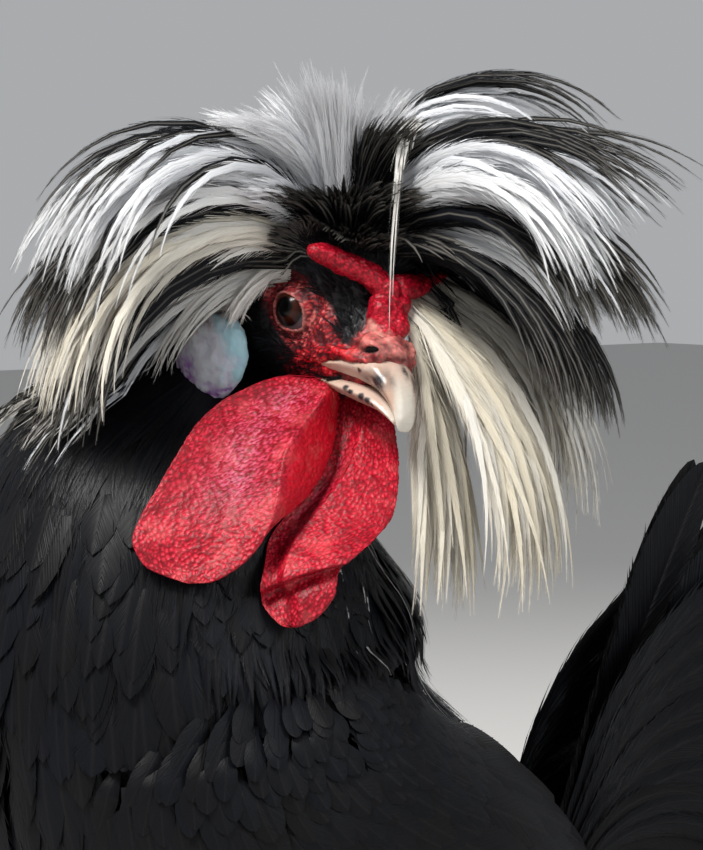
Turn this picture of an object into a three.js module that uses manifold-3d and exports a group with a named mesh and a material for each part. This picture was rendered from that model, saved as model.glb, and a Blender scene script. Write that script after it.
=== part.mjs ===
// A polish crested cock, life size, standing with its head turned to its left.
// Millimetres, +Z up. The trunk faces -Y and its left side is +X.
import * as THREE from 'three';
import { mergeVertices } from 'three/addons/utils/BufferGeometryUtils.js';
import Module from 'manifold-3d';

const wasm = await Module();
wasm.setup();

const { cos, sin, abs, max, min, sqrt, PI } = Math;
const deg = PI / 180;
const v = (x, y, z) => new THREE.Vector3(x, y, z);
const mix = (a, b, t) => a + (b - a) * t;
const count = (n, make) => Array.from({ length: n }, (_, k) => make(k));

// Driving sizes
const gap = 0.3; // left between pieces that touch
const vaneThick = 0.9;
const headPlace = v(43, -15, 405); // the point midway between the eyes
const headTurn = -7; // degrees from +X: the beak points to the bird's left
const headNod = 16; // degrees that the beak dips
const headRoll = -10.6; // degrees: the left side of the head is the lower one
const legSide = 34; // each foot from the middle
const anklePlace = v(legSide, 4, 15);
const kneeCut = 108; // where the feathered thigh ends and the bare shank starts
const ankleCut = 18; // where the shank ends and the foot starts
const toeRadius = 4.6;

// The body's line from under the skull, down the neck and along the trunk to the rump
const spine = [
  v(12, -14, 403), v(3, -22, 386), v(0, -33, 362), v(0, -37, 338), v(0, -38, 312), v(0, -32, 287),
  v(0, -12, 266), v(0, 18, 248), v(0, 48, 232), v(0, 76, 219), v(0, 100, 210), v(0, 110, 206),
];
// Its half width to the side, to the back and to the breast at each of those stations
const girth = [
  v(10, 10, 10), v(21, 20, 22), v(50, 43, 52), v(62, 57, 64), v(68, 60, 70), v(70, 57, 72),
  v(70, 53, 70), v(67, 50, 66), v(59, 45, 58), v(43, 36, 42), v(22, 21, 22), v(8, 9, 8),
];
const neckEnds = 3; // the station where neck and trunk part
const turnReach = 0.14; // the share of the line over which its direction is taken, so that no rings cross
const bodyLine = new THREE.CatmullRomCurve3(spine, false, 'catmullrom', 0.5);
const bodyGirth = new THREE.CatmullRomCurve3(girth, false, 'catmullrom', 0.5);

const material = (color, roughness) => new THREE.MeshStandardMaterial({ color, roughness, metalness: 0 });
const black = material(0x0c0d10, 0.55);
const white = material(0xe9e4d8, 0.7);
const red = material(0xc4122a, 0.5);
const skinRed = material(0x9c2a30, 0.6);
const lobeWhite = material(0xdfe0ee, 0.5);
const horn = material(0xe8dccb, 0.35);
const eyeBrown = material(0x3a1410, 0.08);
const slate = material(0x474d55, 0.55);

// Even draws between -1 and 1 that are the same in every build
function draws(seed) {
  let state = seed;
  return () => {
    state = (state * 1103515245 + 12345) % 2147483648;
    return state / 1073741824 - 1;
  };
}

// Solids

function solid(geometry) {
  const bare = new THREE.BufferGeometry();
  bare.setAttribute('position', geometry.getAttribute('position'));
  bare.setIndex(geometry.index);
  const merged = mergeVertices(bare, 1e-4);
  const triVerts = new Uint32Array(merged.index.array);
  const vertProperties = merged.getAttribute('position').array;
  const made = new wasm.Manifold(new wasm.Mesh({ numProp: 3, vertProperties, triVerts }));
  if (made.volume() > 0) return made;
  for (let i = 0; i < triVerts.length; i += 3) {
    [triVerts[i + 1], triVerts[i + 2]] = [triVerts[i + 2], triVerts[i + 1]];
  }
  return new wasm.Manifold(new wasm.Mesh({ numProp: 3, vertProperties, triVerts }));
}

const join = (solids) => wasm.Manifold.union(solids);
const cut = (from, ...cutters) => from.subtract(join(cutters));
const largest = (made) => made.decompose().sort((a, b) => b.volume() - a.volume())[0];

// A closed body through rings that hold the same number of points, capped at both ends.
// Sides named in turned have their diagonals the other way.
function loft(rings, turned = []) {
  const n = rings[0].length;
  const index = [];
  for (let k = 0; k < rings.length - 1; k++) {
    for (let j = 0; j < n; j++) {
      const a = k * n + j, b = k * n + ((j + 1) % n), c = b + n, d = a + n;
      index.push(...(turned.includes(j) ? [a, b, d, b, c, d] : [a, b, c, a, c, d]));
    }
  }
  const last = (rings.length - 1) * n;
  for (let j = 1; j < n - 1; j++) index.push(0, j + 1, j, last, last + j, last + j + 1);
  const geometry = new THREE.BufferGeometry();
  geometry.setFromPoints(rings.flat());
  geometry.setIndex(index);
  return solid(geometry);
}

const directionAt = (points, k) =>
  points[min(k + 1, points.length - 1)].clone().sub(points[max(k - 1, 0)]).normalize();

// A round or oval tube with a half width and half height at each of its points
function limb(points, sizes, sides, upward = v(0, 0, 1)) {
  return loft(points.map((p, k) => {
    const across = directionAt(points, k).cross(upward).normalize();
    const up = across.clone().cross(directionAt(points, k));
    const [wide, tall] = [sizes[k], sizes[k]].flat();
    return count(sides, (j) => {
      const turn = (j / sides) * 2 * PI;
      return p.clone().addScaledVector(across, wide * cos(turn)).addScaledVector(up, tall * sin(turn));
    });
  }));
}

const ball = (centre, radii, around = 12, down = 8) =>
  solid(new THREE.SphereGeometry(1, around, down).scale(...radii.toArray()).translate(...centre.toArray()));

// Feathers: a share of the half width at each step from root to tip
const vaneShapes = {
  plume: [0.34, 0.78, 1, 0.86, 0.1],
  hackle: [0.5, 1, 0.8, 0.14],
  covert: [0.7, 1, 0.92, 0.4],
  quill: [0.45, 0.85, 1, 0.4],
  sickle: [0.5, 0.9, 1, 0.95, 0.75, 0.1],
};
const vaneEdge = [3]; // the underside's quads are split the way the upper side's are

// A flat vane through points. Each of faces is the way that its broad side looks there.
function vane(points, faces, half, shape) {
  return loft(points.map((p, k) => {
    const ahead = directionAt(points, k);
    const across = ahead.clone().cross(faces[k]).normalize();
    const face = across.clone().cross(ahead);
    return [[1, -1], [1, 1], [-1, 1], [-1, -1]].map(([a, f]) =>
      p.clone().addScaledVector(across, a * half * shape[k]).addScaledVector(face, (f * vaneThick) / 2));
  }), vaneEdge);
}

// The body's surface

const stations = spine.length - 1;

function bodyFrame(s) {
  const t = min(max(s / stations, 0), 1);
  const centre = bodyLine.getPoint(t);
  const ahead = bodyLine.getPoint(min(t + turnReach, 1)).sub(bodyLine.getPoint(max(t - turnReach, 0)));
  ahead.normalize();
  const side = v(1, 0, 0).addScaledVector(ahead, -ahead.x).normalize();
  const back = side.clone().cross(ahead);
  return { centre, ahead, side, back, girth: bodyGirth.getPoint(t) };
}

// A point on the plumage: s runs from head to rump, turn goes round from the left side over the back
function bodyPoint(s, turn, lift = 0) {
  const { centre, side, back, girth: g } = bodyFrame(s);
  const c = cos(turn * deg), k = sin(turn * deg);
  const deep = k > 0 ? g.y : g.z;
  const out = side.clone().multiplyScalar(c / g.x).addScaledVector(back, k / deep).normalize();
  return centre.addScaledVector(side, g.x * c).addScaledVector(back, deep * k).addScaledVector(out, lift);
}

// A length of the body. Its rings lie at the same stations whatever the length, so that two of them nest.
function bodyPiece(from, to, lift, around = 16, step = 0.5) {
  const rings = [from];
  for (let s = step; s < to - 0.05; s += step) if (s > from + 0.05) rings.push(s);
  rings.push(to);
  return loft(rings.map((s) => count(around, (j) => bodyPoint(s, (360 * j) / around, lift))));
}

// A vane that lies along the body, from one station and turn to another, at a lift given along the way
function bodyVane([s0, turn0], [s1, turn1], liftAt, half, shape, tilt = 0) {
  const points = [], faces = [];
  shape.forEach((_, k) => {
    const t = k / (shape.length - 1);
    const s = mix(s0, s1, t), turn = mix(turn0, turn1, t);
    points.push(bodyPoint(s, turn, liftAt(t, s, turn)));
    faces.push(bodyPoint(s, turn, 10).sub(bodyPoint(s, turn, 0)).normalize());
  });
  if (tilt) faces.forEach((face, k) => face.applyAxisAngle(directionAt(points, k), tilt * deg));
  return vane(points, faces, half, shape);
}

// How far a point lies off the plumage, and the way out from there
const bodyRings = count(45, (k) => bodyFrame(k / 4));
function offBody(p) {
  let nearest = { lift: Infinity, out: v(0, 0, 1) };
  for (const { centre, ahead, side, back, girth: g } of bodyRings) {
    const d = p.clone().sub(centre);
    if (abs(d.dot(ahead)) > 9) continue;
    const x = d.dot(side), y = d.dot(back), deep = y > 0 ? g.y : g.z;
    const share = sqrt((x / g.x) ** 2 + (y / deep) ** 2);
    const lift = (share - 1) * sqrt(x * x + y * y) / max(share, 0.01);
    const out = side.clone().multiplyScalar(x / g.x ** 2).addScaledVector(back, y / deep ** 2).normalize();
    if (lift < nearest.lift) nearest = { lift, out };
  }
  return nearest;
}

// Head

const head = new THREE.Group();
head.position.copy(headPlace);
head.rotation.set(headRoll * deg, headNod * deg, headTurn * deg, 'ZYX');

// The head's own frame has the beak along +X and the left side at +Y. Rows: along, half width, top, bottom
const skullRows = [
  [-33, 5, 5, -8], [-30, 12, 12, -15], [-24, 16, 18, -19], [-14, 17.5, 22, -20], [-4, 16.8, 23, -19],
  [4, 15, 20.5, -18], [11, 12.4, 17, -17], [17, 10, 13, -14.5], [23, 8.2, 9, -11], [28.5, 6.2, 5.6, -8],
  [31, 3, 2.6, -4],
];
const upperBeakRows = [
  [12, 9.4, -5.5, -9.2], [17, 9.8, -3.2, -8.2], [21, 9.7, -1.2, -7.5], [26, 8.8, 0.4, -7.3], [31, 7.4, 0.9, -7.7],
  [35, 6.2, -0.9, -8.7], [38.5, 5, -3.8, -10.2], [41.3, 3.9, -7.2, -12.2], [43.2, 3.1, -10.6, -14.4],
  [44, 1.8, -13, -15.4],
];
const lowerBeakRows = [
  [11, 8.6, -9.9, -14.4], [20, 8.2, -8, -14], [27, 6.9, -7.8, -13.5], [33, 5.3, -8.6, -13.2],
  [38, 3.8, -10.4, -13.8], [41.6, 1.8, -13.2, -15],
];
const eyeAt = (side) => v(-0.6, 10.2 * side, 2.9);
const eyeRadius = 7.8;
const eyeTurn = 12; // degrees that each eye looks ahead of straight sideways
const earlobeAt = (side) => v(-19.5, 23 * side, -18.5);
const earlobeSize = v(11, 5, 12.4);

function headLoft(rows, around, swell = 0) {
  return loft(rows.map(([along, half, top, bottom]) => {
    const middle = (top + bottom) / 2, tall = (top - bottom) / 2 + swell;
    return count(around, (j) => {
      const turn = ((j + 0.5) / around) * 2 * PI;
      return v(along, (half + swell) * cos(turn), middle + tall * sin(turn));
    });
  }));
}

const upperBeak = (swell = 0) => headLoft(upperBeakRows, 8, swell);
const lowerBeak = (swell = 0) => headLoft(lowerBeakRows, 8, swell);
const eyeBall = (side, swell = 0) => ball(eyeAt(side), v(1, 1, 1).multiplyScalar(eyeRadius + swell), 10, 7);

// The comb is a V: a stem over the nostrils and a horn to each side, the left one thinner
const combStem = [v(25, 0, 4), v(22, 0, 9), v(19.6, 0, 13.6), v(17.4, 0, 17)];
const combStemSizes = [[6.6, 4.4], [6.3, 4.3], [5.6, 4.2], [4.6, 4.2]];
const rightHorn = [v(18, -1, 17.6), v(14.6, -6, 19.9), v(12, -12, 21), v(10.6, -18, 21.9), v(10.4, -24.5, 22.8)];
const rightHornSizes = [4.2, 4.1, 4, 3.5, 2.3];
const leftHorn = [v(18, 1, 17.6), v(16, 7, 18.6), v(13.6, 13, 19.6), v(10.4, 19.5, 21.4), v(7.8, 25.5, 23.2)];
const leftHornSizes = [4.2, 4, 3.2, 2, 0.8];
const grown = (sizes, by) => sizes.map((size) => [size, size].flat().slice(0, 2).map((r) => r + by));
const comb = (swell = 0) => join([
  limb(combStem, grown(combStemSizes, swell), 7, v(1, 0, 0)),
  limb(rightHorn, grown(rightHornSizes, swell), 7),
  limb(leftHorn, grown(leftHornSizes, swell), 7),
]);

function lids(side, swell = 0) {
  const ring = new THREE.TorusGeometry(6.6, 1.5 + swell, 4, 9).rotateX(90 * deg).scale(1.1, 1, 1);
  ring.translate(0, 4.6 * side, 0).rotateZ(-eyeTurn * side * deg).translate(...eyeAt(side).toArray());
  return solid(ring);
}
const nostrilRim = (side) => ball(v(25.5, 4.6 * side, 1.6), v(6.4, 4.2, 4.6), 7, 5);
const nostrilHole = (side) => ball(v(28.6, 8.6 * side, 1.7), v(2.6, 2.6, 1.3), 6, 4);
// The fleshy lip over the corner of the mouth
const lip = (side) => limb([v(3, 10 * side, -10), v(11, 10.9 * side, -6.2), v(18, 10.4 * side, -3.2),
  v(25, 8.4 * side, -1.6)], [1.4, 2, 1.9, 1.3], 5);

function earlobe(side, swell = 0) {
  const lobe = new THREE.SphereGeometry(1, 11, 6).scale(...earlobeSize.clone().addScalar(swell).toArray());
  lobe.rotateZ(-16 * side * deg).translate(...earlobeAt(side).toArray());
  return solid(lobe);
}

const faceRoom = join([headLoft(skullRows, 12, gap + 0.05), upperBeak(gap), lowerBeak(gap)]);

function skull() {
  const cere = ball(v(27.2, 0, 2.2), v(5.2, 6.2, 5.4), 7, 5);
  const sides = [1, -1].flatMap((side) => [lids(side), nostrilRim(side), lip(side)]);
  const whole = join([headLoft(skullRows, 12), ...sides, cere]);
  return cut(whole, upperBeak(gap), lowerBeak(gap), comb(gap * 1.2), eyeBall(1, gap), eyeBall(-1, gap),
    nostrilHole(1), nostrilHole(-1));
}

// Wattles and crest hang plumb from the head. They are laid out in the frame of the crest's parting:
// x runs out along the parting, over the right eye, and y across to its left.

const partTurn = -40 * deg; // the way the parting runs from the crown, from +X
const plumb = v(0, 0, 1);
const fromHead = (across, out, up) => v(out, across, up);

// Rows: the left and right edge across and up, how far out, and the fold: its crest's share of the width from
// the left edge, its height, and how far the leaf drops from there to the right edge
function wattle(rows) {
  const around = 12;
  return loft(rows.map(([leftAcross, leftUp, rightAcross, rightUp, out, crestShare, high, drop]) =>
    count(around, (j) => {
      const turn = (j / around) * 2 * PI;
      const a = 0.5 + 0.5 * cos(turn);
      const before = min(a / crestShare, 1), after = max(0, (a - crestShare) / (1.01 - crestShare));
      const dish = (1.6 + 0.35 * high) * sin(PI * before);
      const rise = high * max(0, before - 0.6) / 0.4 - dish - drop * after;
      return fromHead(leftAcross + (rightAcross - leftAcross) * a, out + rise + sin(turn) * wattleThick,
        leftUp + (rightUp - leftUp) * a);
    })));
}
const rightWattleRows = [
  [-14, -12, 0, -13, 12, 0.85, 1, 2], [-22, -14.5, 1, -18, 17, 0.82, 3.5, 6], [-31, -19, 0.5, -24.5, 22, 0.74, 4.5, 9],
  [-38, -25.5, -0.5, -31, 29, 0.68, 5, 11], [-43, -33.5, -3.5, -38, 35, 0.72, 4.5, 10],
  [-47.5, -41, -8.5, -44.5, 41, 0.82, 3.5, 7], [-53, -50, -16.5, -51, 45, 0.97, 2.5, 1.5],
  [-52.5, -57.5, -23.5, -60, 48, 0.99, 1.5, 0],
  [-44.5, -63.5, -31.5, -64.5, 50, 0.99, 0.5, 0], [-39, -65.5, -36.5, -65.5, 50, 0.99, 0, 0],
];
const leftWattleRows = [
  [1, -18, 13, -18, 8, 0.6, 0, 2], [0, -24.5, 15.5, -23.5, 12, 0.5, 1, 3], [-2, -34, 17.5, -34, 18.5, 0.36, 2.5, 3],
  [-8, -43.5, 17, -43.5, 26, 0.28, 3, 3], [-13.5, -49.5, 15.5, -49.5, 31, 0.25, 3, 3],
  [-17.5, -55, 10.5, -55, 34.5, 0.25, 2.5, 2], [-18.5, -60.5, 4, -60, 37, 0.25, 2, 1],
  [-19.5, -68, 1.2, -64, 40, 0.3, 1, 0], [-17, -75, -2, -73, 42.5, 0.5, 0.5, 0],
  [-12.5, -77.8, -9, -77.4, 43, 0.5, 0, 0],
];
const wattleThick = 1.7;

// Crest

const crestPlace = v(0, 3, 17); // from the head's place, in the parting's frame
const crestRoot = v(22, 20, 23); // the knob of down that the plumes grow from
// Tiers from the lowest up: headings from the parting, root elevation, launch and end of the plume's arc in
// degrees, length, half width and count. Every other plume of a tier launches lower by the stagger.
const leftTiers = [
  { headings: [44, 128], root: -8, launch: -24, end: -94, long: 106, half: 10, many: 5, stagger: 26 },
  { headings: [56, 172], root: 4, launch: -2, end: -84, long: 108, half: 10, many: 5, stagger: 12 },
  { headings: [52, 172], root: 24, launch: 27, end: -78, long: 105, half: 10, many: 5, stagger: 11 },
  { headings: [50, 172], root: 40, launch: 44, end: -72, long: 103, half: 10, many: 5, stagger: 11 },
  { headings: [56, 165], root: 58, launch: 60, end: -58, long: 107, half: 9.5, many: 4, stagger: 10 },
];
const rightTiers = [
  { headings: [262, 188], root: 0, launch: 0, end: -82, long: 88, half: 9.5, many: 4, stagger: 10 },
  { headings: [286, 188], root: 20, launch: 22, end: -82, long: 97, half: 10, many: 5, stagger: 11 },
  { headings: [304, 188], root: 40, launch: 44, end: -82, long: 98, half: 10, many: 5, stagger: 11 },
  { headings: [306, 195], root: 56, launch: 64, end: -72, long: 100, half: 9.5, many: 4, stagger: 10 },
];
// Single plumes: wisps over the crest, short ones that stand over the brow, and a thin forelock
const singlePlumes = [
  { heading: 96, root: 76, launch: 88, end: -44, long: 100, half: 4.5 },
  { heading: 16, root: 50, launch: 80, end: 10, long: 40, half: 7.5 },
  { heading: 40, root: 38, launch: 66, end: -20, long: 50, half: 8 },
  { heading: 62, root: 22, launch: 38, end: -50, long: 52, half: 8 },
  { heading: 24, root: 52, launch: 48, end: -108, long: 64, half: 2.6 },
  { heading: 150, root: 76, launch: 80, end: -6, long: 56, half: 7 },
  { heading: 208, root: 76, launch: 80, end: -6, long: 60, half: 7 },
  { heading: 276, root: 76, launch: 86, end: 6, long: 50, half: 7 },
  { heading: 322, root: 38, launch: 66, end: -20, long: 48, half: 8 },
  { heading: 300, root: 22, launch: 38, end: -46, long: 46, half: 8 },
];

// What plumes bend round: balls along a line, in the head's frame
const headObstacles = [
  [v(-26, 0, 0), v(8, 0, 2), 20.5], [v(8, 0, -2), v(43, 0, -13), 11],
  [v(22, 0, 15), v(8, -26, 22), 6.5], [v(22, 0, 15), v(6, 28, 23), 6.5],
  [earlobeAt(1), earlobeAt(1), 13.5], [earlobeAt(-1), earlobeAt(-1), 13.5],
];

function keepClear(p, margin) {
  const clear = p.clone();
  for (const [a, b, radius] of obstacles) {
    const along = b.clone().sub(a), length2 = max(along.lengthSq(), 1e-9);
    const t = min(max(clear.clone().sub(a).dot(along) / length2, 0), 1);
    const away = clear.clone().sub(a.clone().addScaledVector(along, t));
    const short = radius + margin - 5.5 - away.length();
    if (short > 0) clear.addScaledVector(away.normalize(), short);
  }
  const { lift, out } = offBody(clear);
  if (lift < margin) clear.addScaledVector(out, margin - lift);
  return clear;
}

// A plume leaves the knob at its launch angle and its slope falls evenly to its end angle
function plume({ heading, root, launch, end, long, half }, shape, toBody, toCrest) {
  const out = v(cos(heading * deg), sin(heading * deg), 0);
  const rise = sin(root * deg), run = cos(root * deg);
  const p = v(crestRoot.x * run * out.x, crestRoot.y * run * out.y, crestRoot.z * rise).multiplyScalar(0.72);
  const steps = (shape.length - 1) * 6;
  const points = [p.clone()], slopes = [launch];
  for (let k = 1; k <= steps; k++) {
    const slope = mix(launch, end, (k - 0.5) / steps) * deg;
    p.addScaledVector(out, (cos(slope) * long) / steps).addScaledVector(plumb, (sin(slope) * long) / steps);
    if (k % 6 === 0) {
      points.push(p.clone());
      slopes.push(mix(launch, end, k / steps));
    }
  }
  const bend = (q) => keepClear(q.clone().applyMatrix4(toBody), 9.5).applyMatrix4(toCrest);
  const bent = points.map((q, k) => (k < 1 ? q : bend(q)));
  // near the parting the broad faces turn to look out along it
  const turned = 0.95 * min(max((1.35 - abs(Math.atan2(out.y, out.x)) / (PI / 2)) / 0.6, 0), 1);
  const faces = slopes.map((slope) => v(turned, 0, 0).addScaledVector(out, -sin(slope * deg) * (1 - turned))
    .addScaledVector(plumb, cos(slope * deg) * (1 - turned)));
  return vane(bent, faces, half, shape);
}

// One half of the crest. It is parted from the other in the plane of the parting.
function crestLobe(tiers, side, seed, toBody, toCrest) {
  const draw = draws(seed);
  const plumes = tiers.flatMap((tier, row) => count(tier.many, (k) => {
    const heading = mix(...tier.headings, (k + (row % 2 ? 0.3 : 0.6)) / tier.many) + draw() * 2;
    const lower = k % 2 ? tier.stagger : 0;
    const root = tier.root - lower * 0.6 + draw() * 2, long = tier.long * (1 + 0.05 * draw());
    return plume({ ...tier, heading, root, launch: tier.launch - lower, end: tier.end - lower * 0.3, long },
      vaneShapes.plume, toBody, toCrest);
  }));
  const single = singlePlumes.filter(({ heading }) => sin(heading * deg) * side > 0)
    .map((one) => plume(one, vaneShapes.plume, toBody, toCrest));
  const knob = ball(v(0, 0, 0), crestRoot, 12, 7);
  return join([knob, ...plumes, ...single]).trimByPlane([0, side, 0], gap / 2);
}

// Neck with its hackle: the tiers lie over one another from the bottom up

const hackleTiers = [
  { from: 2.2, to: [3.6, 5.3, 4.2], root: -4, tip: 1.9, half: 13, many: 12 },
  { from: 1.5, to: [3.05, 4.1, 3.3], root: -3.5, tip: 4.6, half: 11.5, many: 11 },
  { from: 0.9, to: [2.4, 2.9, 2.3], root: -3.5, tip: 7, half: 10, many: 7 },
];
// A vane's lift: it comes out of the core over its first third and then rises slowly to its tip
const rising = (t, root, out, tip) => (t < 0.34 ? mix(root, out, t * 3) : mix(out, tip, (t - 0.33) * 1.5));

function hackle(seed) {
  const draw = draws(seed);
  return hackleTiers.flatMap(({ from, to: [side, back, front], root, tip, half, many }, tier) =>
    count(many, (k) => {
      const turn = (360 * (k + tier / 2)) / many + draw() * 3;
      const behind = sin(turn * deg);
      const to = mix(side, behind > 0 ? back : front, behind * behind) + (k % 2 ? 0.2 : -0.1) + draw() * 0.15;
      const liftAt = (t) => rising(t, root, tip, tip);
      return bodyVane([from, turn], [to, turn + draw() * 4], liftAt, half, vaneShapes.hackle);
    }));
}

// Wings: a pad that lies on the plumage. Each row holds its station, both edges in degrees and its thickness.

const wingRows = [
  [4.0, -10, 12, 2], [4.4, -32, 30, 6.5], [5.2, -43, 42, 8.5], [6.3, -39, 47, 9],
  [7.4, -26, 48, 8], [8.5, -6, 47, 6], [9.5, 18, 41, 2],
];
const saddleRows = [[6.6, 66, 114, 0.6], [7.6, 56, 124, 3.4], [8.6, 56, 124, 3.6], [9.5, 62, 118, 1]];
const padFoot = 1.1; // the pad's edge off the plumage

function padOn(rows, side, swell = 0, across = 4) {
  return loft(rows.map(([s, low, high, thick]) => {
    const top = [], base = [];
    for (let j = 0; j <= across; j++) {
      const u = j / across;
      const turn = mix(low - 2 * swell, high + 2 * swell, u);
      const mirrored = side < 0 ? 180 - turn : turn;
      const crown = padFoot + swell + thick * sqrt(max(0, 1 - (2 * u - 1) ** 2));
      top.push(bodyPoint(s, mirrored, crown));
      base.push(bodyPoint(s, mirrored, -1.5));
    }
    return [...top, ...base.reverse()];
  }));
}

function padTop(rows, s, turn) {
  const k = max(1, rows.findIndex((row) => row[0] >= s));
  const past = s > rows[rows.length - 1][0];
  const [a, b] = past ? [rows[rows.length - 1], rows[rows.length - 1]] : [rows[k - 1], rows[k]];
  const t = min(max((s - a[0]) / max(b[0] - a[0], 1e-6), 0), 1);
  const [, low, high, thick] = a.map((value, i) => mix(value, b[i], t));
  const u = min(max((turn - low) / (high - low), 0), 1);
  return padFoot + (past ? 0 : thick * sqrt(max(0, 1 - (2 * u - 1) ** 2)));
}

// Tiers from the tip forward: stations, first and last turn at the root and at the tip, half width, shape
const wingTiers = [
  { from: 7.6, to: 9.75, roots: [-12, 34], tips: [14, 40], half: 5.2, shape: 'quill', many: 3 },
  { from: 6.6, to: 8.8, roots: [-28, 42], tips: [-6, 45], half: 7.2, shape: 'quill', many: 5 },
  { from: 5.8, to: 7.3, roots: [-36, 42], tips: [-28, 46], half: 10.4, shape: 'covert', many: 4 },
  { from: 5.0, to: 6.3, roots: [-36, 39], tips: [-36, 44], half: 10.4, shape: 'covert', many: 4 },
  { from: 4.35, to: 5.5, roots: [-30, 31], tips: [-36, 40], half: 10.4, shape: 'covert', many: 4 },
];

function padVanes(rows, tiers, side, seed) {
  const draw = draws(seed);
  return tiers.flatMap(({ from, to, roots, tips, half, shape, many }) => count(many, (k) => {
    const u = (k + 0.5) / many;
    const root = mix(...roots, u), tip = mix(...tips, u) + draw() * 1.5;
    const mirrored = (turn) => (side < 0 ? 180 - turn : turn);
    const liftAt = (t, s) => padTop(rows, s, mix(root, tip, t)) + rising(t, -2.8, 2, 4.2);
    const reach = to + draw() * 0.08;
    return bodyVane([from, mirrored(root)], [reach, mirrored(tip)], liftAt, half, vaneShapes[shape]);
  }));
}

const saddleTiers = [
  { from: 8.0, to: 10.0, roots: [62, 118], tips: [38, 142], half: 6, shape: 'hackle', many: 4 },
  { from: 6.8, to: 8.8, roots: [62, 118], tips: [54, 126], half: 8, shape: 'hackle', many: 3 },
];

const wing = (side, swell = 0) => padOn(wingRows, side, swell);
const saddle = (swell = 0) => padOn(saddleRows, 1, swell);

// Tail: main feathers in two upright halves, and sickles over them from a root of their own on each side

const tailPlace = v(0, 106, 222);
const tailSize = v(14, 20, 18);
const tailFan = { many: 6, low: 10, high: 66, long: 148, half: 10.5 };
const tailRoot = (swell = 0) => ball(tailPlace, tailSize.clone().addScalar(swell), 10, 6);

function tailFeather(side, k) {
  const { many, low, high, long, half } = tailFan;
  const share = k / (many - 1); // 0 is the lowest feather
  const rise = mix(low, high, share) * deg;
  const off = mix(10, 2.2, share); // the lower feathers lie outside
  const points = vaneShapes.quill.map((_, j) => {
    const t = j / 3, droop = 10 * t * t;
    return v(side * (off + 5 * t * (1.2 - share)), tailPlace.y + cos(rise) * long * t + droop * sin(rise),
      tailPlace.z + sin(rise) * long * t - droop * cos(rise));
  });
  return vane(points, points.map(() => v(side, 0, 0.1)), half, vaneShapes.quill);
}
const tailHalf = (side) => count(tailFan.many, (k) => tailFeather(side, k));
const tail = () => join([tailRoot(), ...tailHalf(1), ...tailHalf(-1)]);

// Sickles: launch and end of the arc in degrees, length, half width, distance from the middle
const sickles = [
  { launch: 80, end: -82, long: 300, half: 8.5, off: 14 },
  { launch: 74, end: -74, long: 225, half: 8, off: 16.5 },
  { launch: 62, end: -68, long: 160, half: 8, off: 19 },
  { launch: 42, end: -62, long: 112, half: 7.5, off: 21 },
];
const sickleRoot = (side, swell = 0) => ball(v(15 * side, 106, 232), v(8, 13, 13).addScalar(swell), 8, 6);

function sickle(side, { launch, end, long, half, off }) {
  const shape = vaneShapes.sickle, steps = (shape.length - 1) * 5;
  const p = v(side * off, 104, 234), points = [p.clone()];
  for (let k = 1; k <= steps; k++) {
    const t = (k - 0.5) / steps, slope = mix(launch, end, t) * deg;
    p.add(v(side * 0.12 * t * (long / steps), cos(slope) * (long / steps), sin(slope) * (long / steps)));
    if (k % 5 === 0) points.push(p.clone());
  }
  return vane(points, points.map(() => v(side, 0, 0.15)), half, shape);
}
const sickleSet = (side) => join([sickleRoot(side), ...sickles.map((one) => sickle(side, one))]);

// Legs

const onSide = (p, side) => v(p.x * side, p.y, p.z);

const thighPoints = [
  v(36, 0, 226), v(37, 6, 198), v(37, 13, 170), v(36, 21, 143), v(35, 28, 121), v(34.5, 32, 104),
];
const thighSizes = [[24, 34], [25, 33], [21, 26], [15, 18], [10, 11.5], [7.5, 8]];
const thigh = (side) => limb(thighPoints.map((p) => onSide(p, side)), thighSizes, 10, v(0, 1, 0))
  .trimByPlane([0, 0, 1], kneeCut + gap / 2);

// A scaled stretch: each scute flares over the next one on its front
function scaled(points, sizes, sides, scutes, flare, front) {
  const curve = new THREE.CatmullRomCurve3(points);
  const size = new THREE.CatmullRomCurve3(sizes.map(([wide, tall]) => v(wide, tall, 0)));
  const rings = [];
  for (let k = 0; k < scutes; k++) for (const end of [0, 1]) {
    const t = (k + end * 0.96) / scutes;
    const ahead = curve.getTangent(t), across = ahead.clone().cross(front).normalize();
    const up = across.clone().cross(ahead), { x: wide, y: tall } = size.getPoint(t);
    rings.push(count(sides, (j) => {
      const turn = (j / sides) * 2 * PI;
      const lift = flare * end * max(0, sin(turn));
      return curve.getPoint(t).addScaledVector(across, (wide + lift * 0.5) * cos(turn))
        .addScaledVector(up, (tall + lift) * sin(turn));
    }));
  }
  return loft(rings);
}

const shankPoints = [v(34.6, 32.4, 114), v(34, 30, 102), v(34, 23, 78), v(34, 14, 46), v(34, 4.5, 15)];
const shankSizes = [[7, 7.6], [6.4, 7], [5, 5.8], [5, 5.8], [6.2, 6.4]];
const shank = (side) => scaled(shankPoints.map((p) => onSide(p, side)), shankSizes, 6, 8, 0.9, v(0, -1, 0))
  .trimByPlane([0, 0, -1], gap / 2 - kneeCut).trimByPlane([0, 0, 1], ankleCut + gap / 2);

// Toes: heading in degrees from straight ahead towards the outside, length, and size
const toes = { inner: [-31, 46, 1], middle: [3, 62, 1.05], outer: [40, 50, 1], hind: [165, 26, 0.9] };
const toeDir = (heading, side) => v(sin(heading * deg) * side, -cos(heading * deg), 0);
const toePoint = (heading, side, out, up) =>
  v(anklePlace.x * side, anklePlace.y, up).addScaledVector(toeDir(heading, side), out);

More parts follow.
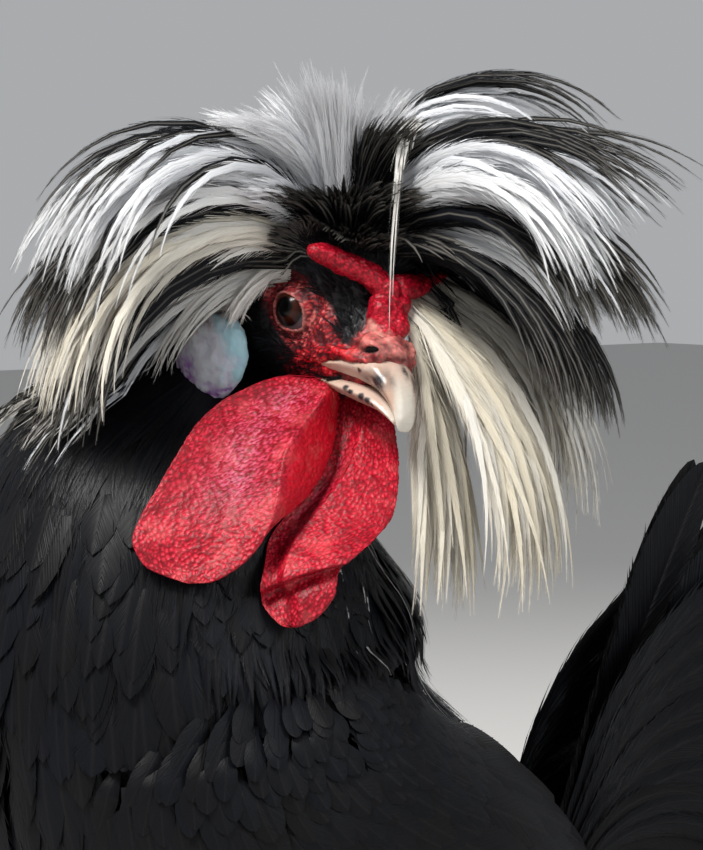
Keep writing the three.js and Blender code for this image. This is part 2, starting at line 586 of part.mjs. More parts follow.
function toe(side, [heading, length, size]) {
  const r = toeRadius * size, hind = heading > 90, rise = hind ? 3 : 7;
  const points = [toePoint(heading, side, 0, 6 + rise), toePoint(heading, side, 9, r + rise * 0.5),
    toePoint(heading, side, length * 0.55, r * 0.82), toePoint(heading, side, length, r * 0.78)];
  const sizes = [[r * 1.15, r * 1.1], [r * 1.1, r], [r, r * 0.92], [r * 0.75, r * 0.72]];
  return scaled(points, sizes, 6, hind ? 2 : 3, 0.7, plumb);
}

function foot(side) {
  const hub = ball(v(anklePlace.x * side, anklePlace.y, 8), v(9, 9, 8.6), 8, 6);
  const ankle = limb([v(34 * side, 6, 22), v(34 * side, 4.4, 9)], [[6.4, 6.6], [7.5, 7.5]], 6, v(0, 1, 0));
  const whole = join([...Object.values(toes).map((one) => toe(side, one)), hub, ankle]);
  return whole.trimByPlane([0, 0, 1], 0).trimByPlane([0, 0, -1], gap / 2 - ankleCut);
}

function claw(side, [heading, length, size]) {
  const r = toeRadius * size;
  const points = [[0.4, r * 0.95], [4, r * 0.98], [8, r * 0.72], [11.5, 1]]
    .map(([out, up]) => toePoint(heading, side, length + out, up));
  return limb(points, [[2.3, 2.6], [1.9, 2.3], [1.2, 1.4], [0.35, 0.4]], 5);
}
const spurPoints = [v(28.6, 18.6, 52), v(24, 22.5, 52.5), v(19, 27, 55)];
const spur = (side) => limb(spurPoints.map((p) => onSide(p, side)), [3, 2, 0.6], 6);

// Assembly

const bird = new THREE.Group();
const body = new THREE.Group();
const hangings = new THREE.Group();
const crest = new THREE.Group();
hangings.position.copy(headPlace);
hangings.rotation.z = partTurn;
crest.position.copy(crestPlace);
hangings.add(crest);
body.add(head, hangings);
bird.add(body);
bird.updateMatrixWorld(true);

const between = (from, to) => to.matrixWorld.clone().invert().multiply(from.matrixWorld);
const moved = (made, from, to) => made.transform(between(from, to).toArray());
const obstacles = headObstacles.map(([a, b, radius]) =>
  [a.clone().applyMatrix4(head.matrixWorld), b.clone().applyMatrix4(head.matrixWorld), radius]);

function show(name, made, look, group = body) {
  const { vertProperties, triVerts } = largest(made).getMesh();
  const geometry = new THREE.BufferGeometry();
  geometry.setAttribute('position', new THREE.BufferAttribute(vertProperties, 3));
  geometry.setIndex(new THREE.BufferAttribute(triVerts, 1));
  const mesh = new THREE.Mesh(geometry.toNonIndexed(), look);
  mesh.geometry.computeVertexNormals();
  mesh.name = name;
  group.add(mesh);
}

// Rooms: what the pieces laid over something are cut by
const lobesRoom = join([earlobe(1, gap * 1.3), earlobe(-1, gap * 1.3)]);
const headRoom = join([faceRoom, lobesRoom]);
const torsoRoom = bodyPiece(neckEnds - 0.015, stations, gap);
const neckRoom = bodyPiece(0, neckEnds + 1.5, gap);
const crestFloor = bodyPiece(0, stations, 8.7);
const wingsRoom = join([wing(1, 3.6), wing(-1, 3.6)]);

show('head', skull(), skinRed, head);
show('beak_upper', upperBeak(), horn, head);
show('beak_lower', lowerBeak(), horn, head);
show('comb', comb(), red, head);

const wattleRoom = join([moved(faceRoom, head, hangings), moved(neckRoom, body, hangings)]);
const rightWattle = cut(wattle(rightWattleRows), wattleRoom);
const besideRight = [[0, 0, 0], [-gap, 0, 0], [gap, 0, 0], [0, gap, 0], [0, 0, -gap], [-3, 0, 0]];
const leftWattle = cut(wattle(leftWattleRows), wattleRoom, ...besideRight.map((by) => rightWattle.translate(by)));
show('wattle_right', rightWattle, red, hangings);
show('wattle_left', leftWattle, red, hangings);
const bothWattles = join([rightWattle, leftWattle]);
const wattlesRoom = moved(join([bothWattles, bothWattles.translate([-gap, 0, -gap])]), hangings, body);

const eyesRoom = join([1, -1].flatMap((side) => [eyeBall(side, gap), lids(side, gap)]));
const faceAndComb = join([headRoom, eyesRoom, comb(1)]);
const crestRoom = join([moved(faceAndComb, head, crest), moved(crestFloor, body, crest)]);
const toBody = between(crest, body), toCrest = between(body, crest);
show('crest_left', cut(crestLobe(leftTiers, 1, 11, toBody, toCrest), crestRoom), white, crest);
show('crest_right', cut(crestLobe(rightTiers, -1, 23, toBody, toCrest), crestRoom), white, crest);

const neckCore = bodyPiece(0, neckEnds - 0.015, 0);
const neckCuts = [moved(headRoom, head, body), torsoRoom, wattlesRoom, wingsRoom];
show('neck', cut(join([neckCore, ...hackle(5)]), ...neckCuts), black);
show('torso', bodyPiece(neckEnds, stations, 0), black);
const tailsRoom = join([tailRoot(gap), sickleRoot(1, gap), sickleRoot(-1, gap)]);
const saddleVanes = padVanes(saddleRows, saddleTiers, 1, 31);
show('saddle', cut(join([saddle(), ...saddleVanes]), torsoRoom, tailsRoom), black);
show('tail', cut(tail(), torsoRoom), black);

for (const [name, side] of [['left', 1], ['right', -1]]) {
  show(`eye_${name}`, eyeBall(side), eyeBrown, head);
  show(`earlobe_${name}`, cut(earlobe(side), faceRoom), lobeWhite, head);
  const wingVanes = padVanes(wingRows, wingTiers, side, 40 + side);
  show(`wing_${name}`, cut(join([wing(side), ...wingVanes]), torsoRoom, tailsRoom), black);
  show(`sickles_${name}`, cut(sickleSet(side), torsoRoom, tailRoot(gap)), black);
  show(`thigh_${name}`, cut(thigh(side), torsoRoom, wing(side, gap * 1.2)), black);
  show(`shank_${name}`, shank(side), slate);
  show(`foot_${name}`, foot(side), slate);
  show(`spur_${name}`, spur(side), horn);
  for (const [toeName, sizes] of Object.entries(toes)) {
    show(`claw_${name}_${toeName}`, claw(side, sizes), horn);
  }
}

const reach = new THREE.Box3().setFromObject(bird, true);
bird.position.sub(reach.getCenter(v(0, 0, 0)).setZ(reach.min.z));

export default bird;
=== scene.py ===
# Looks of a life-size polish crested cock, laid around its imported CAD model. Lengths are worked out in
# millimetres in the CAD's own layout and become metres in the mesh.
import math

import bmesh
import bpy
import numpy as np
from mathutils import Matrix, Vector, noise


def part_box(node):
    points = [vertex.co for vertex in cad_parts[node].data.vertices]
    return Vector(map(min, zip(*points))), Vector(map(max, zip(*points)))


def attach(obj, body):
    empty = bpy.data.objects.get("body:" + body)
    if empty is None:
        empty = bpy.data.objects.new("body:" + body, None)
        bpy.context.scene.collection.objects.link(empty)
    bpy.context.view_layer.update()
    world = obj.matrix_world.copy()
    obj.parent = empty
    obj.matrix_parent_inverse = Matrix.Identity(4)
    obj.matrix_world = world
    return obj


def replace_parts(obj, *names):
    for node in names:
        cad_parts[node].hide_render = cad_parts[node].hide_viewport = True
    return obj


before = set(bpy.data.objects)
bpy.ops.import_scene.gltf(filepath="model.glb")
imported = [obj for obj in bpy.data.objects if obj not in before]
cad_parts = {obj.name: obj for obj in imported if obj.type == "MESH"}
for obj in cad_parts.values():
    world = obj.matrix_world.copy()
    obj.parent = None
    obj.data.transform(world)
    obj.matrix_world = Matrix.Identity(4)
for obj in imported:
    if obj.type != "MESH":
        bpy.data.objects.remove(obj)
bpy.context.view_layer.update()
mm = 0.001
sides = ((1, "left"), (-1, "right"))
print("frame loaded")

# The bird's layout, as the part has it
spine = [
    (12, -14, 403), (3, -22, 386), (0, -33, 362), (0, -37, 338), (0, -38, 312), (0, -32, 287),
    (0, -12, 266), (0, 18, 248), (0, 48, 232), (0, 76, 219), (0, 100, 210), (0, 110, 206),
]
girth = [  # half width to the side, to the back and to the breast
    (10, 10, 10), (21, 20, 22), (50, 43, 52), (62, 57, 64), (68, 60, 70), (70, 57, 72),
    (70, 53, 70), (67, 50, 66), (59, 45, 58), (43, 36, 42), (22, 21, 22), (8, 9, 8),
]
stations = len(spine) - 1
turnReach = 0.14 * stations
headPlace = np.array([43.0, -15.0, 405.0])
headAngles = (-10.6, 16, -7)  # roll, nod and turn
partTurn = -40  # the way the crest's parting runs


def spin(angle, axis):
    return np.array(Matrix.Rotation(math.radians(angle), 3, axis))


headTurn = spin(headAngles[2], "Z") @ spin(headAngles[1], "Y") @ spin(headAngles[0], "X")
hangTurn = spin(partTurn, "Z")
crestPlace = np.array([0.0, 3.0, 17.0])


def fromHead(p):
    return np.asarray(p, float) @ headTurn.T + headPlace


def fromHangings(p):
    return np.asarray(p, float) @ hangTurn.T + headPlace


def fromCrest(p):
    return fromHangings(np.asarray(p, float) + crestPlace)


def unit(a):
    return a / np.maximum(np.linalg.norm(a, axis=-1, keepdims=True), 1e-9)


def smooth(low, high, x):
    t = np.clip((np.asarray(x, float) - low) / (high - low), 0, 1)
    return t * t * (3 - 2 * t)


# A smooth line through points, at s counted in points
def along(points, s):
    p = np.array(points, float)
    p = np.vstack([2 * p[0] - p[1], p, 2 * p[-1] - p[-2]])
    n = len(points) - 1
    s = np.clip(np.asarray(s, float), 0, n)
    k = np.minimum(s.astype(int), n - 1)
    t = (s - k)[..., None]
    a, b, c, d = p[k], p[k + 1], p[k + 2], p[k + 3]
    va, vb = (c - a) / 2, (d - b) / 2
    return (2 * b - 2 * c + va + vb) * t**3 + (3 * c - 3 * b - 2 * va - vb) * t**2 + va * t + b


def bodyFrame(s):
    before = along(spine, np.maximum(s - turnReach, 0))
    ahead = unit(along(spine, np.minimum(s + turnReach, stations)) - before)
    side = unit(np.array([1.0, 0, 0]) - ahead * ahead[..., :1])
    return along(spine, s), ahead, side, np.cross(side, ahead)


# A point on the plumage: s runs from head to rump, turn goes round from the left side over the back
def bodyPoint(s, turn, lift=0.0):
    s, turn, lift = np.broadcast_arrays(np.asarray(s, float), np.asarray(turn, float),
                                        np.asarray(lift, float))
    centre, _, side, back = bodyFrame(s)
    g = along(girth, s)
    c, k = np.cos(np.radians(turn)), np.sin(np.radians(turn))
    deep = np.where(k > 0, g[..., 1], g[..., 2])
    out = unit(side * (c / g[..., 0])[..., None] + back * (k / deep)[..., None])
    place = centre + side * (g[..., 0] * c)[..., None] + back * (deep * k)[..., None]
    return place + out * lift[..., None], out


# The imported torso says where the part's origin went
ringStations = np.r_[np.arange(3, stations + 0.1, 0.5)]
torsoRings, _ = bodyPoint(ringStations[:, None], np.arange(16)[None] * 22.5)
origin = np.array(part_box("torso")[0]) / mm - torsoRings.reshape(-1, 3).min(0)
print("origin", origin.round(3))


def toFrame(p):
    return (np.asarray(p, float) + origin) * mm


# Camera at the photograph's angle, and a plain studio
cameraPlace = {
    "looksAt": (4.58, -26.67),  # millimetres right and up of the head's place
    "away": 1000,
    "azimuth": 50,
    "elevation": 4,
    "lens": 152.47,
}


def makeCamera(values):
    a, e = math.radians(values["azimuth"] - 90), math.radians(values["elevation"])
    toward = Vector((math.cos(a) * math.cos(e), math.sin(a) * math.cos(e), math.sin(e)))
    rightward = Vector((-math.sin(a), math.cos(a), 0))
    upward = toward.cross(rightward)
    aim = Vector(toFrame(headPlace)) + (rightward * values["looksAt"][0] + upward * values["looksAt"][1]) * mm
    data = bpy.data.cameras.new("photoCamera")
    data.sensor_width = data.sensor_height = 36
    data.sensor_fit = "AUTO"
    data.lens = values["lens"]
    data.clip_end = 50
    camera = bpy.data.objects.new("photoCamera", data)
    bpy.context.scene.collection.objects.link(camera)
    camera.matrix_world = Matrix.Translation(aim + toward * values["away"] * mm) @ Matrix(
        (rightward, upward, toward)).transposed().to_4x4()
    bpy.context.scene.camera = camera


makeCamera(cameraPlace)

studio = {
    "floorSize": 12,
    "floorColour": (0.5, 0.495, 0.485, 1),
    "sky": (0.95, 0.97, 1.0, 1),
    "skyStrength": 0.42,
    "viewTransform": "Standard",
    "lamps": [  # place, size, watts, colour
        ((0.3, -1.3, 2.1), 0.8, 66, (1.0, 0.98, 0.95)),
        ((2.0, 0.2, 1.2), 1.0, 12, (0.94, 0.97, 1.0)),
        ((-1.3, 1.2, 1.7), 1.0, 26, (1.0, 0.98, 0.95)),
    ],
}


def makeStudio(values):
    bm = bmesh.new()
    bmesh.ops.create_grid(bm, x_segments=1, y_segments=1, size=values["floorSize"] / 2)
    floor = meshObject("studioFloor", bm)
    floor.data.materials.append(plainMaterial("studioFloor", values["floorColour"], 0.85))
    world = bpy.data.worlds.new("studioSky")
    world.use_nodes = True
    world.node_tree.nodes["Background"].inputs["Color"].default_value = values["sky"]
    world.node_tree.nodes["Background"].inputs["Strength"].default_value = values["skyStrength"]
    bpy.context.scene.world = world
    bpy.context.scene.view_settings.view_transform = values["viewTransform"]
    for k, (place, size, watts, colour) in enumerate(values["lamps"]):
        data = bpy.data.lights.new(f"softLamp{k}", "AREA")
        data.shape = "DISK"
        data.size = size
        data.energy = watts
        data.color = colour
        lamp = bpy.data.objects.new(f"softLamp{k}", data)
        bpy.context.scene.collection.objects.link(lamp)
        lamp.location = place
        lamp.rotation_euler = (Vector((0, -0.05, 0.32)) - Vector(place)).to_track_quat("-Z", "Y").to_euler()


def meshObject(name, bm):
    mesh = bpy.data.meshes.new(name)
    bm.to_mesh(mesh)
    bm.free()
    piece = bpy.data.objects.new(name, mesh)
    bpy.context.scene.collection.objects.link(piece)
    return piece


def newMaterial(name):
    made = bpy.data.materials.new(name)
    made.use_nodes = True
    return made, made.node_tree, made.node_tree.nodes["Principled BSDF"]


def plainMaterial(name, colour, roughness):
    made, _, shader = newMaterial(name)
    shader.inputs["Base Color"].default_value = colour
    shader.inputs["Roughness"].default_value = roughness
    return made


makeStudio(studio)
print("camera and studio made")

# Materials. Effects that several of them use are node groups.
def addNode(tree, kind, links=(), **values):
    made = tree.nodes.new(kind)
    for key, value in values.items():
        if hasattr(made, key):
            setattr(made, key, value)
        else:
            made.inputs[key.replace("_", " ")].default_value = value
    for socket, source in dict(links).items():
        tree.links.new(source, made.inputs[socket])
    return made


# The masks that are kept on a mesh's points
def masksOf(tree, *labels):
    return [addNode(tree, "ShaderNodeAttribute", attribute_name=label).outputs["Fac"] for label in labels]


def math2(tree, operation, a, b=None, clamp=False):
    made = tree.nodes.new("ShaderNodeMath")
    made.operation = operation
    made.use_clamp = clamp
    for k, value in enumerate((a, b)):
        if value is None:
            continue
        if isinstance(value, (int, float)):
            made.inputs[k].default_value = value
        else:
            tree.links.new(value, made.inputs[k])
    return made.outputs[0]


def mixColour(tree, share, a, b, blend="MIX"):
    made = tree.nodes.new("ShaderNodeMix")
    made.data_type = "RGBA"
    made.blend_type = blend
    for socket, value in ((made.inputs[0], share), (made.inputs[6], a), (made.inputs[7], b)):
        if isinstance(value, (int, float, tuple)):
            socket.default_value = value
        else:
            tree.links.new(value, socket)
    return made.outputs[2]


def ramp(tree, source, stops):
    made = tree.nodes.new("ShaderNodeValToRGB")
    tree.links.new(source, made.inputs[0])
    elements = made.color_ramp.elements
    while len(elements) < len(stops):
        elements.new(0.5)
    for element, (place, colour) in zip(elements, stops):
        element.position = place
        element.color = colour if isinstance(colour, tuple) else (colour, colour, colour, 1)
    return made.outputs[0]


def newGroup(name, inputs, outputs):
    group = bpy.data.node_groups.new(name, "ShaderNodeTree")
    for label, kind, value in inputs:
        socket = group.interface.new_socket(label, in_out="INPUT", socket_type=kind)
        if value is not None:
            socket.default_value = value
    for label, kind in outputs:
        group.interface.new_socket(label, in_out="OUTPUT", socket_type=kind)
    return group, group.nodes.new("NodeGroupInput"), group.nodes.new("NodeGroupOutput")


# Barbs: fine slanted lines that leave the shaft on both sides, each a little lighter or darker,
# and the shaft itself
def makeBarbGroup():
    group, given, out = newGroup("vaneBarbs", [
        ("Vane", "NodeSocketVector", None), ("Lines", "NodeSocketFloat", 90.0),
        ("Slant", "NodeSocketFloat", 0.5),
        ("Shaft", "NodeSocketFloat", 0.03), ("Own", "NodeSocketFloat", 0.0)],
        [("Height", "NodeSocketFloat"), ("Line", "NodeSocketFloat"), ("Shaft", "NodeSocketFloat")])
    split = addNode(group, "ShaderNodeSeparateXYZ", {0: given.outputs["Vane"]})
    side = math2(group, "ABSOLUTE", math2(group, "SUBTRACT", split.outputs[1], 0.5))
    slanted = math2(group, "MULTIPLY", side, given.outputs["Slant"])
    phase = math2(group, "MULTIPLY", math2(group, "SUBTRACT", split.outputs[0], slanted),
                  given.outputs["Lines"])
    place = addNode(group, "ShaderNodeCombineXYZ", {
        0: phase,
        1: math2(group, "MULTIPLY", side, 1.5),
        2: math2(group, "MULTIPLY", given.outputs["Own"], 40),
    })
    grain = addNode(group, "ShaderNodeTexNoise", {"Vector": place.outputs[0]}, Scale=1.0, Detail=2.0)
    contrast = math2(group, "MULTIPLY", math2(group, "SUBTRACT", grain.outputs[0], 0.5), 3.2)
    line = math2(group, "ADD", contrast, 0.5, True)
    shaft = math2(group, "SUBTRACT", 1, math2(group, "DIVIDE", side, given.outputs["Shaft"]), clamp=True)
    group.links.new(line, out.inputs["Line"])
    group.links.new(shaft, out.inputs["Shaft"])
    group.links.new(math2(group, "ADD", line, math2(group, "MULTIPLY", shaft, 1.5)), out.inputs["Height"])
    return group


barbGroup = makeBarbGroup()


def featherMaterial(name, values):
    made, tree, shader = newMaterial(name)
    vane = addNode(tree, "ShaderNodeUVMap", uv_map="vane")
    barbs = addNode(tree, "ShaderNodeGroup", node_tree=barbGroup)
    tree.links.new(vane.outputs[0], barbs.inputs["Vane"])
    barbs.inputs["Lines"].default_value = values["lines"]
    barbs.inputs["Slant"].default_value = values["slant"]
    barbs.inputs["Shaft"].default_value = values["shaft"]
    tone, warm, shade = masksOf(tree, "tone", "warm", "shade")
    tree.links.new(shade, barbs.inputs["Own"])
    where = addNode(tree, "ShaderNodeTexCoord")
    patches = addNode(tree, "ShaderNodeTexNoise", {"Vector": where.outputs["Object"]},
                      Scale=values["patchScale"], Detail=2.0)
    light = mixColour(tree, warm, values["light"], values["cream"])
    light = mixColour(tree, math2(tree, "MULTIPLY", shade, 0.35), light, values["greyed"])
    dark = mixColour(tree, patches.outputs[0], values["dark"], values["sheenDark"])
    dark = mixColour(tree, math2(tree, "MULTIPLY", shade, 0.5), dark, values["brown"])
    colour = mixColour(tree, tone, dark, light)
    lines = math2(tree, "MULTIPLY", math2(tree, "SUBTRACT", 1, barbs.outputs["Line"]), values["lineShade"])
    colour = mixColour(tree, lines, colour, values["between"], "MULTIPLY")
    shaft = math2(tree, "MULTIPLY", barbs.outputs["Shaft"], values["shaftShade"])
    colour = mixColour(tree, shaft, colour, values["shaftColour"])
    bump = addNode(tree, "ShaderNodeBump", {"Height": barbs.outputs["Height"]}, Strength=values["bump"],
                   Distance=0.0002)
    rough = math2(tree, "ADD", values["rough"], math2(tree, "MULTIPLY", tone, 0.25))
    tree.links.new(colour, shader.inputs["Base Color"])
    tree.links.new(rough, shader.inputs["Roughness"])
    tree.links.new(bump.outputs[0], shader.inputs["Normal"])
    shader.inputs["Specular IOR Level"].default_value = values["specular"]
    shader.inputs["Sheen Weight"].default_value = values["sheen"]
    shader.inputs["Sheen Tint"].default_value = (0.75, 0.85, 1, 1)
    shader.inputs["Sheen Roughness"].default_value = 0.4
    return made


plumageColours = {
    "light": (0.8, 0.82, 0.85, 1), "cream": (0.78, 0.7, 0.53, 1), "greyed": (0.56, 0.57, 0.58, 1),
    "dark": (0.0025, 0.0027, 0.0035, 1), "sheenDark": (0.005, 0.0065, 0.01, 1),
    "brown": (0.006, 0.005, 0.0045, 1),
    "between": (0.5, 0.5, 0.53, 1), "shaftColour": (0.5, 0.46, 0.4, 1), "shaftShade": 0.2,
    "lines": 130.0, "slant": 0.5, "shaft": 0.05, "patchScale": 25.0, "lineShade": 0.55, "bump": 0.35,
    "rough": 0.4, "specular": 0.12, "sheen": 0.0,
}
crestLook = featherMaterial("crestFeather", plumageColours)
# A brighter copy of the crest's feather colours for the down: painted light that lifts the down out of its own
# shade
litDownLook = featherMaterial("crestDownLit", {
    **plumageColours, "light": (0.93, 0.94, 0.97, 1), "cream": (0.88, 0.81, 0.66, 1),
    "greyed": (0.84, 0.85, 0.87, 1),
    "lineShade": 0.15})


# Feathers. A template lies flat: x runs from root to tip, y across in half widths, z out of the broad face.
def bladeWidth(t, shape):
    rise = np.clip(t / shape["widest"], 0, 1) ** 0.7
    fall = 1 - np.clip((t - shape["widest"]) / (1 - shape["widest"]), 0, 1) ** shape["point"]
    return rise * fall ** shape.get("blunt", 1)


featherShapes = {
    "plume": {"steps": 9, "across": 2, "widest": 0.36, "point": 1.2, "blade": 0.52, "root": 0.2, "barbs": 22,
              "reach": (0.05, 0.97), "barbLong": 0.19, "barbWide": 0.006, "loose": 0.34, "cup": 0.22},
    "softPlume": {"steps": 5, "across": 2, "widest": 0.4, "point": 1.4, "blade": 0.3, "root": 0.12,
                  "barbs": 18,
                  "reach": (0.02, 0.93), "barbLong": 0.28, "barbWide": 0.008, "loose": 0.75, "cup": 0.2},
    "hackle": {"steps": 9, "across": 2, "widest": 0.4, "point": 1.3, "blade": 0.8, "root": 0.25, "barbs": 12,
               "reach": (0.25, 0.95), "barbLong": 0.14, "barbWide": 0.009, "loose": 0.12, "cup": 0.3},
    "body": {"steps": 6, "across": 4, "widest": 0.6, "point": 2.2, "blunt": 0.7, "blade": 0.88, "root": 0.4,
             "barbs": 10, "reach": (0.4, 0.9), "barbLong": 0.2, "barbWide": 0.014, "loose": 0.16,
             "cup": 0.16},
    "fluff": {"steps": 4, "across": 2, "widest": 0.5, "point": 2, "blade": 0.3, "root": 0.2, "barbs": 10,
              "reach": (0.05, 0.9), "barbLong": 0.34, "barbWide": 0.014, "loose": 0.6, "cup": 0.15},
    "scale": {"steps": 9, "across": 6, "widest": 0.5, "point": 2, "blunt": 0.5, "blade": 0.97, "root": 0.5,
              "barbs": 8,
              "reach": (0.4, 0.85), "barbLong": 0.1, "barbWide": 0.01, "loose": 0.03, "cup": 0.14},
    "quill": {"steps": 16, "across": 6, "widest": 0.72, "point": 2.2, "blunt": 0.6, "blade": 0.95,
              "root": 0.4, "barbs": 26,
              "reach": (0.15, 0.93), "barbLong": 0.06, "barbWide": 0.006, "loose": 0.05, "cup": 0.16},
    "sickle": {"steps": 22, "across": 6, "widest": 0.5, "point": 2.2, "blade": 0.88, "root": 0.4, "barbs": 44,
               "reach": (0.08, 0.97), "barbLong": 0.06, "barbWide": 0.005, "loose": 0.12, "cup": 0.2},
}


def featherTemplate(kind, seed):
    shape = featherShapes[kind]
    draw = np.random.default_rng(seed)
    bm = bmesh.new()
    bmesh.ops.create_grid(bm, x_segments=shape["steps"], y_segments=shape["across"], size=0.5)
    for vert in bm.verts:
        t, a = 1 - max(0.5 - vert.co.x, 0) ** 1.5, vert.co.y * 2  # closer rows towards the tip
        wide = max(bladeWidth(t, shape) * shape["blade"], 0.015)
        wide = max(wide, shape["root"] * (1 - t * 4))
        vert.co = Vector((t, a * wide, -shape["cup"] * abs(a) ** 1.5 * wide))
    first, last = shape["reach"]
    for side in (1, -1):
        for k in range(shape["barbs"]):
            t0 = first + (last - first) * (k + draw.uniform(0, 1)) / shape["barbs"]
            long = shape["barbLong"] * draw.uniform(0.75, 1.3) * (1.15 - 0.5 * t0)
            t1 = min(t0 + long, 1.015)
            w0 = bladeWidth(t0, shape) * shape["blade"]
            w1 = bladeWidth(min(t1, 0.985), shape)
            a1 = max(w1, 0.05) * draw.uniform(1 - shape["loose"] * 0.7, 1 + shape["loose"]) + 0.06
            a0 = max(w0 * 0.7, 0.01)
            lift = draw.normal(0, shape["loose"] * 0.45)
            sag = -shape["cup"]
            w = shape["barbWide"] * draw.uniform(0.7, 1.2)
            tm, am = (t0 * 0.45 + t1 * 0.55), a0 + (a1 - a0) * 0.62
            rows = [
                ((t0 - w, side * a0, sag * a0), (t0 + w, side * a0, sag * a0)),
                ((tm - w * 0.8, side * am, sag * am + lift * 0.4),
                 (tm + w * 0.8, side * am, sag * am + lift * 0.4)),
            ]
            verts = [bm.verts.new(p) for row in rows for p in row]
            verts.append(bm.verts.new((t1, side * a1, sag * a1 + lift)))
            order = (0, 1, 3, 2) if side < 0 else (1, 0, 2, 3)
            bm.faces.new([verts[j] for j in order])
            bm.faces.new([verts[j] for j in ((2, 3, 4) if side < 0 else (3, 2, 4))])
    return pointsAndTriangles(bm)


def pointsAndTriangles(bm):
    bmesh.ops.triangulate(bm, faces=bm.faces)
    bm.verts.index_update()
    points = np.array([vert.co for vert in bm.verts])
    triangles = np.array([[vert.index for vert in face.verts] for face in bm.faces])
    bm.free()
    return points, triangles


# A hair: a thin tapered strip
def strandTemplate(steps=3):
    bm = bmesh.new()
    bmesh.ops.create_grid(bm, x_segments=steps, y_segments=1, size=0.5)
    for vert in bm.verts:
        t, a = vert.co.x + 0.5, vert.co.y * 2
        vert.co = Vector((t, a * (1 - 0.85 * t), 0))
    return pointsAndTriangles(bm)


# samples: feathers x steps x 3, t: share of the way for each vertex
def atShare(samples, t):
    k = np.clip((t * (samples.shape[1] - 1)).astype(int), 0, samples.shape[1] - 2)
    f = (t * (samples.shape[1] - 1) - k)[None, :, None]
    return samples[:, k] * (1 - f) + samples[:, k + 1] * f


# Lays one feather along each path and joins them all in one mesh.
# paths: feathers x steps x 3, faces: the way that the broad side looks there, half: half width of each
def growFeathers(name, kind, paths, faces, half, tone, warm, roots, tipTone=None, look=None,
                 seed=1, variants=4):
    draw = np.random.default_rng(seed)
    many = len(paths)
    half, tone, warm = (np.broadcast_to(np.asarray(x, float), many) for x in (half, tone, warm))
    tipTone = tone if tipTone is None else np.broadcast_to(np.asarray(tipTone, float), many)
    step = np.gradient(paths, axis=1)
    ahead = unit(step)
    across = unit(np.cross(ahead, faces))
    face = np.cross(across, ahead)
    if kind == "strand":
        templates = [strandTemplate()]
    else:
        templates = [featherTemplate(kind, seed * 10 + k) for k in range(variants)]
    pick = draw.integers(0, len(templates), many)
    parts = {"co": [], "tri": [], "uv": [], "patch": [], "tone": [], "warm": [], "shade": []}
    first = 0
    for k, (points, triangles) in enumerate(templates):
        mine = np.flatnonzero(pick == k)
        if not len(mine):
            continue
        t = np.clip(points[:, 0], 0, 1)
        a = points[None, :, 1] * half[mine, None]
        z = points[None, :, 2] * half[mine, None]
        flip = draw.choice([-1, 1], len(mine))[:, None] if kind != "strand" else 1
        place = atShare(paths[mine], t) + atShare(across[mine], t) * (a * flip)[..., None] + atShare(
            face[mine], t) * z[..., None]
        overrun = (points[:, 0] - t)[None, :, None]
        stride = np.linalg.norm(step[mine, -1], axis=-1)[:, None, None]
        place = place + ahead[mine, -1][:, None] * overrun * stride * 10
        parts["co"].append(place.reshape(-1, 3))
        n = len(points)
        asDrawn = np.broadcast_to(np.asarray(flip), (len(mine), 1))[:, :, None] > 0
        order = np.where(asDrawn, triangles[None], triangles[None, :, ::-1])
        parts["tri"].append((order + (first + np.arange(len(mine)) * n)[:, None, None]).reshape(-1, 3))
        first += n * len(mine)
        wide = np.abs(points[:, 1]).max()
        shares = [np.broadcast_to(one, (len(mine), n)) for one in (t, points[:, 1] / wide / 2 + 0.5)]
        uv = np.stack(shares, -1)
        parts["uv"].append(uv.reshape(-1, 2))
        parts["patch"].append((roots[mine][:, None] + (uv - 0.5) * 0.003).reshape(-1, 2))
        mixTip = smooth(0.72, 0.9, t)[None]
        parts["tone"].append((tone[mine, None] * (1 - mixTip) + tipTone[mine, None] * mixTip).ravel())
        parts["warm"].append(np.repeat(warm[mine], n))
        parts["shade"].append(np.repeat(draw.uniform(0, 1, len(mine)), n))
    co, tri = np.vstack(parts["co"]), np.vstack(parts["tri"])
    mesh = bpy.data.meshes.new(name)
    mesh.vertices.add(len(co))
    mesh.vertices.foreach_set("co", toFrame(co).astype(np.float32).ravel())
    mesh.loops.add(tri.size)
    mesh.loops.foreach_set("vertex_index", tri.ravel().astype(np.int32))
    mesh.polygons.add(len(tri))
    mesh.polygons.foreach_set("loop_start", (np.arange(len(tri)) * 3).astype(np.int32))
    mesh.polygons.foreach_set("loop_total", np.full(len(tri), 3, np.int32))
    mesh.update(calc_edges=True)
    for label, key in (("vane", "uv"), ("OFBake", "patch")):
        layer = mesh.uv_layers.new(name=label)
        layer.uv.foreach_set("vector", np.vstack(parts[key])[tri.ravel()].astype(np.float32).ravel())
    mesh.shade_smooth()
    piece = bpy.data.objects.new(name, mesh)
    bpy.context.scene.collection.objects.link(piece)
    for label in ("tone", "warm", "shade"):
        setValues(piece, label, np.concatenate(parts[label]))
    mesh.materials.append(look or crestLook)
    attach(piece, "root")
    print(f"{name}: {many} feathers, {len(tri)} triangles")
    return piece


# Smooth bodies: a sphere's net laid on a shape that a function gives for the share along and the turn
def sphereBody(bm, around, rings, shapeAt):
    made = bmesh.ops.create_uvsphere(bm, u_segments=around, v_segments=rings, radius=1)
    co = np.array([vert.co for vert in made["verts"]])
    share = np.arccos(np.clip(co[:, 2], -1, 1)) / math.pi
    turn = np.degrees(np.arctan2(co[:, 1], co[:, 0]))
    for vert, place in zip(made["verts"], shapeAt(share, turn)):
        vert.co = place
    return made["verts"]


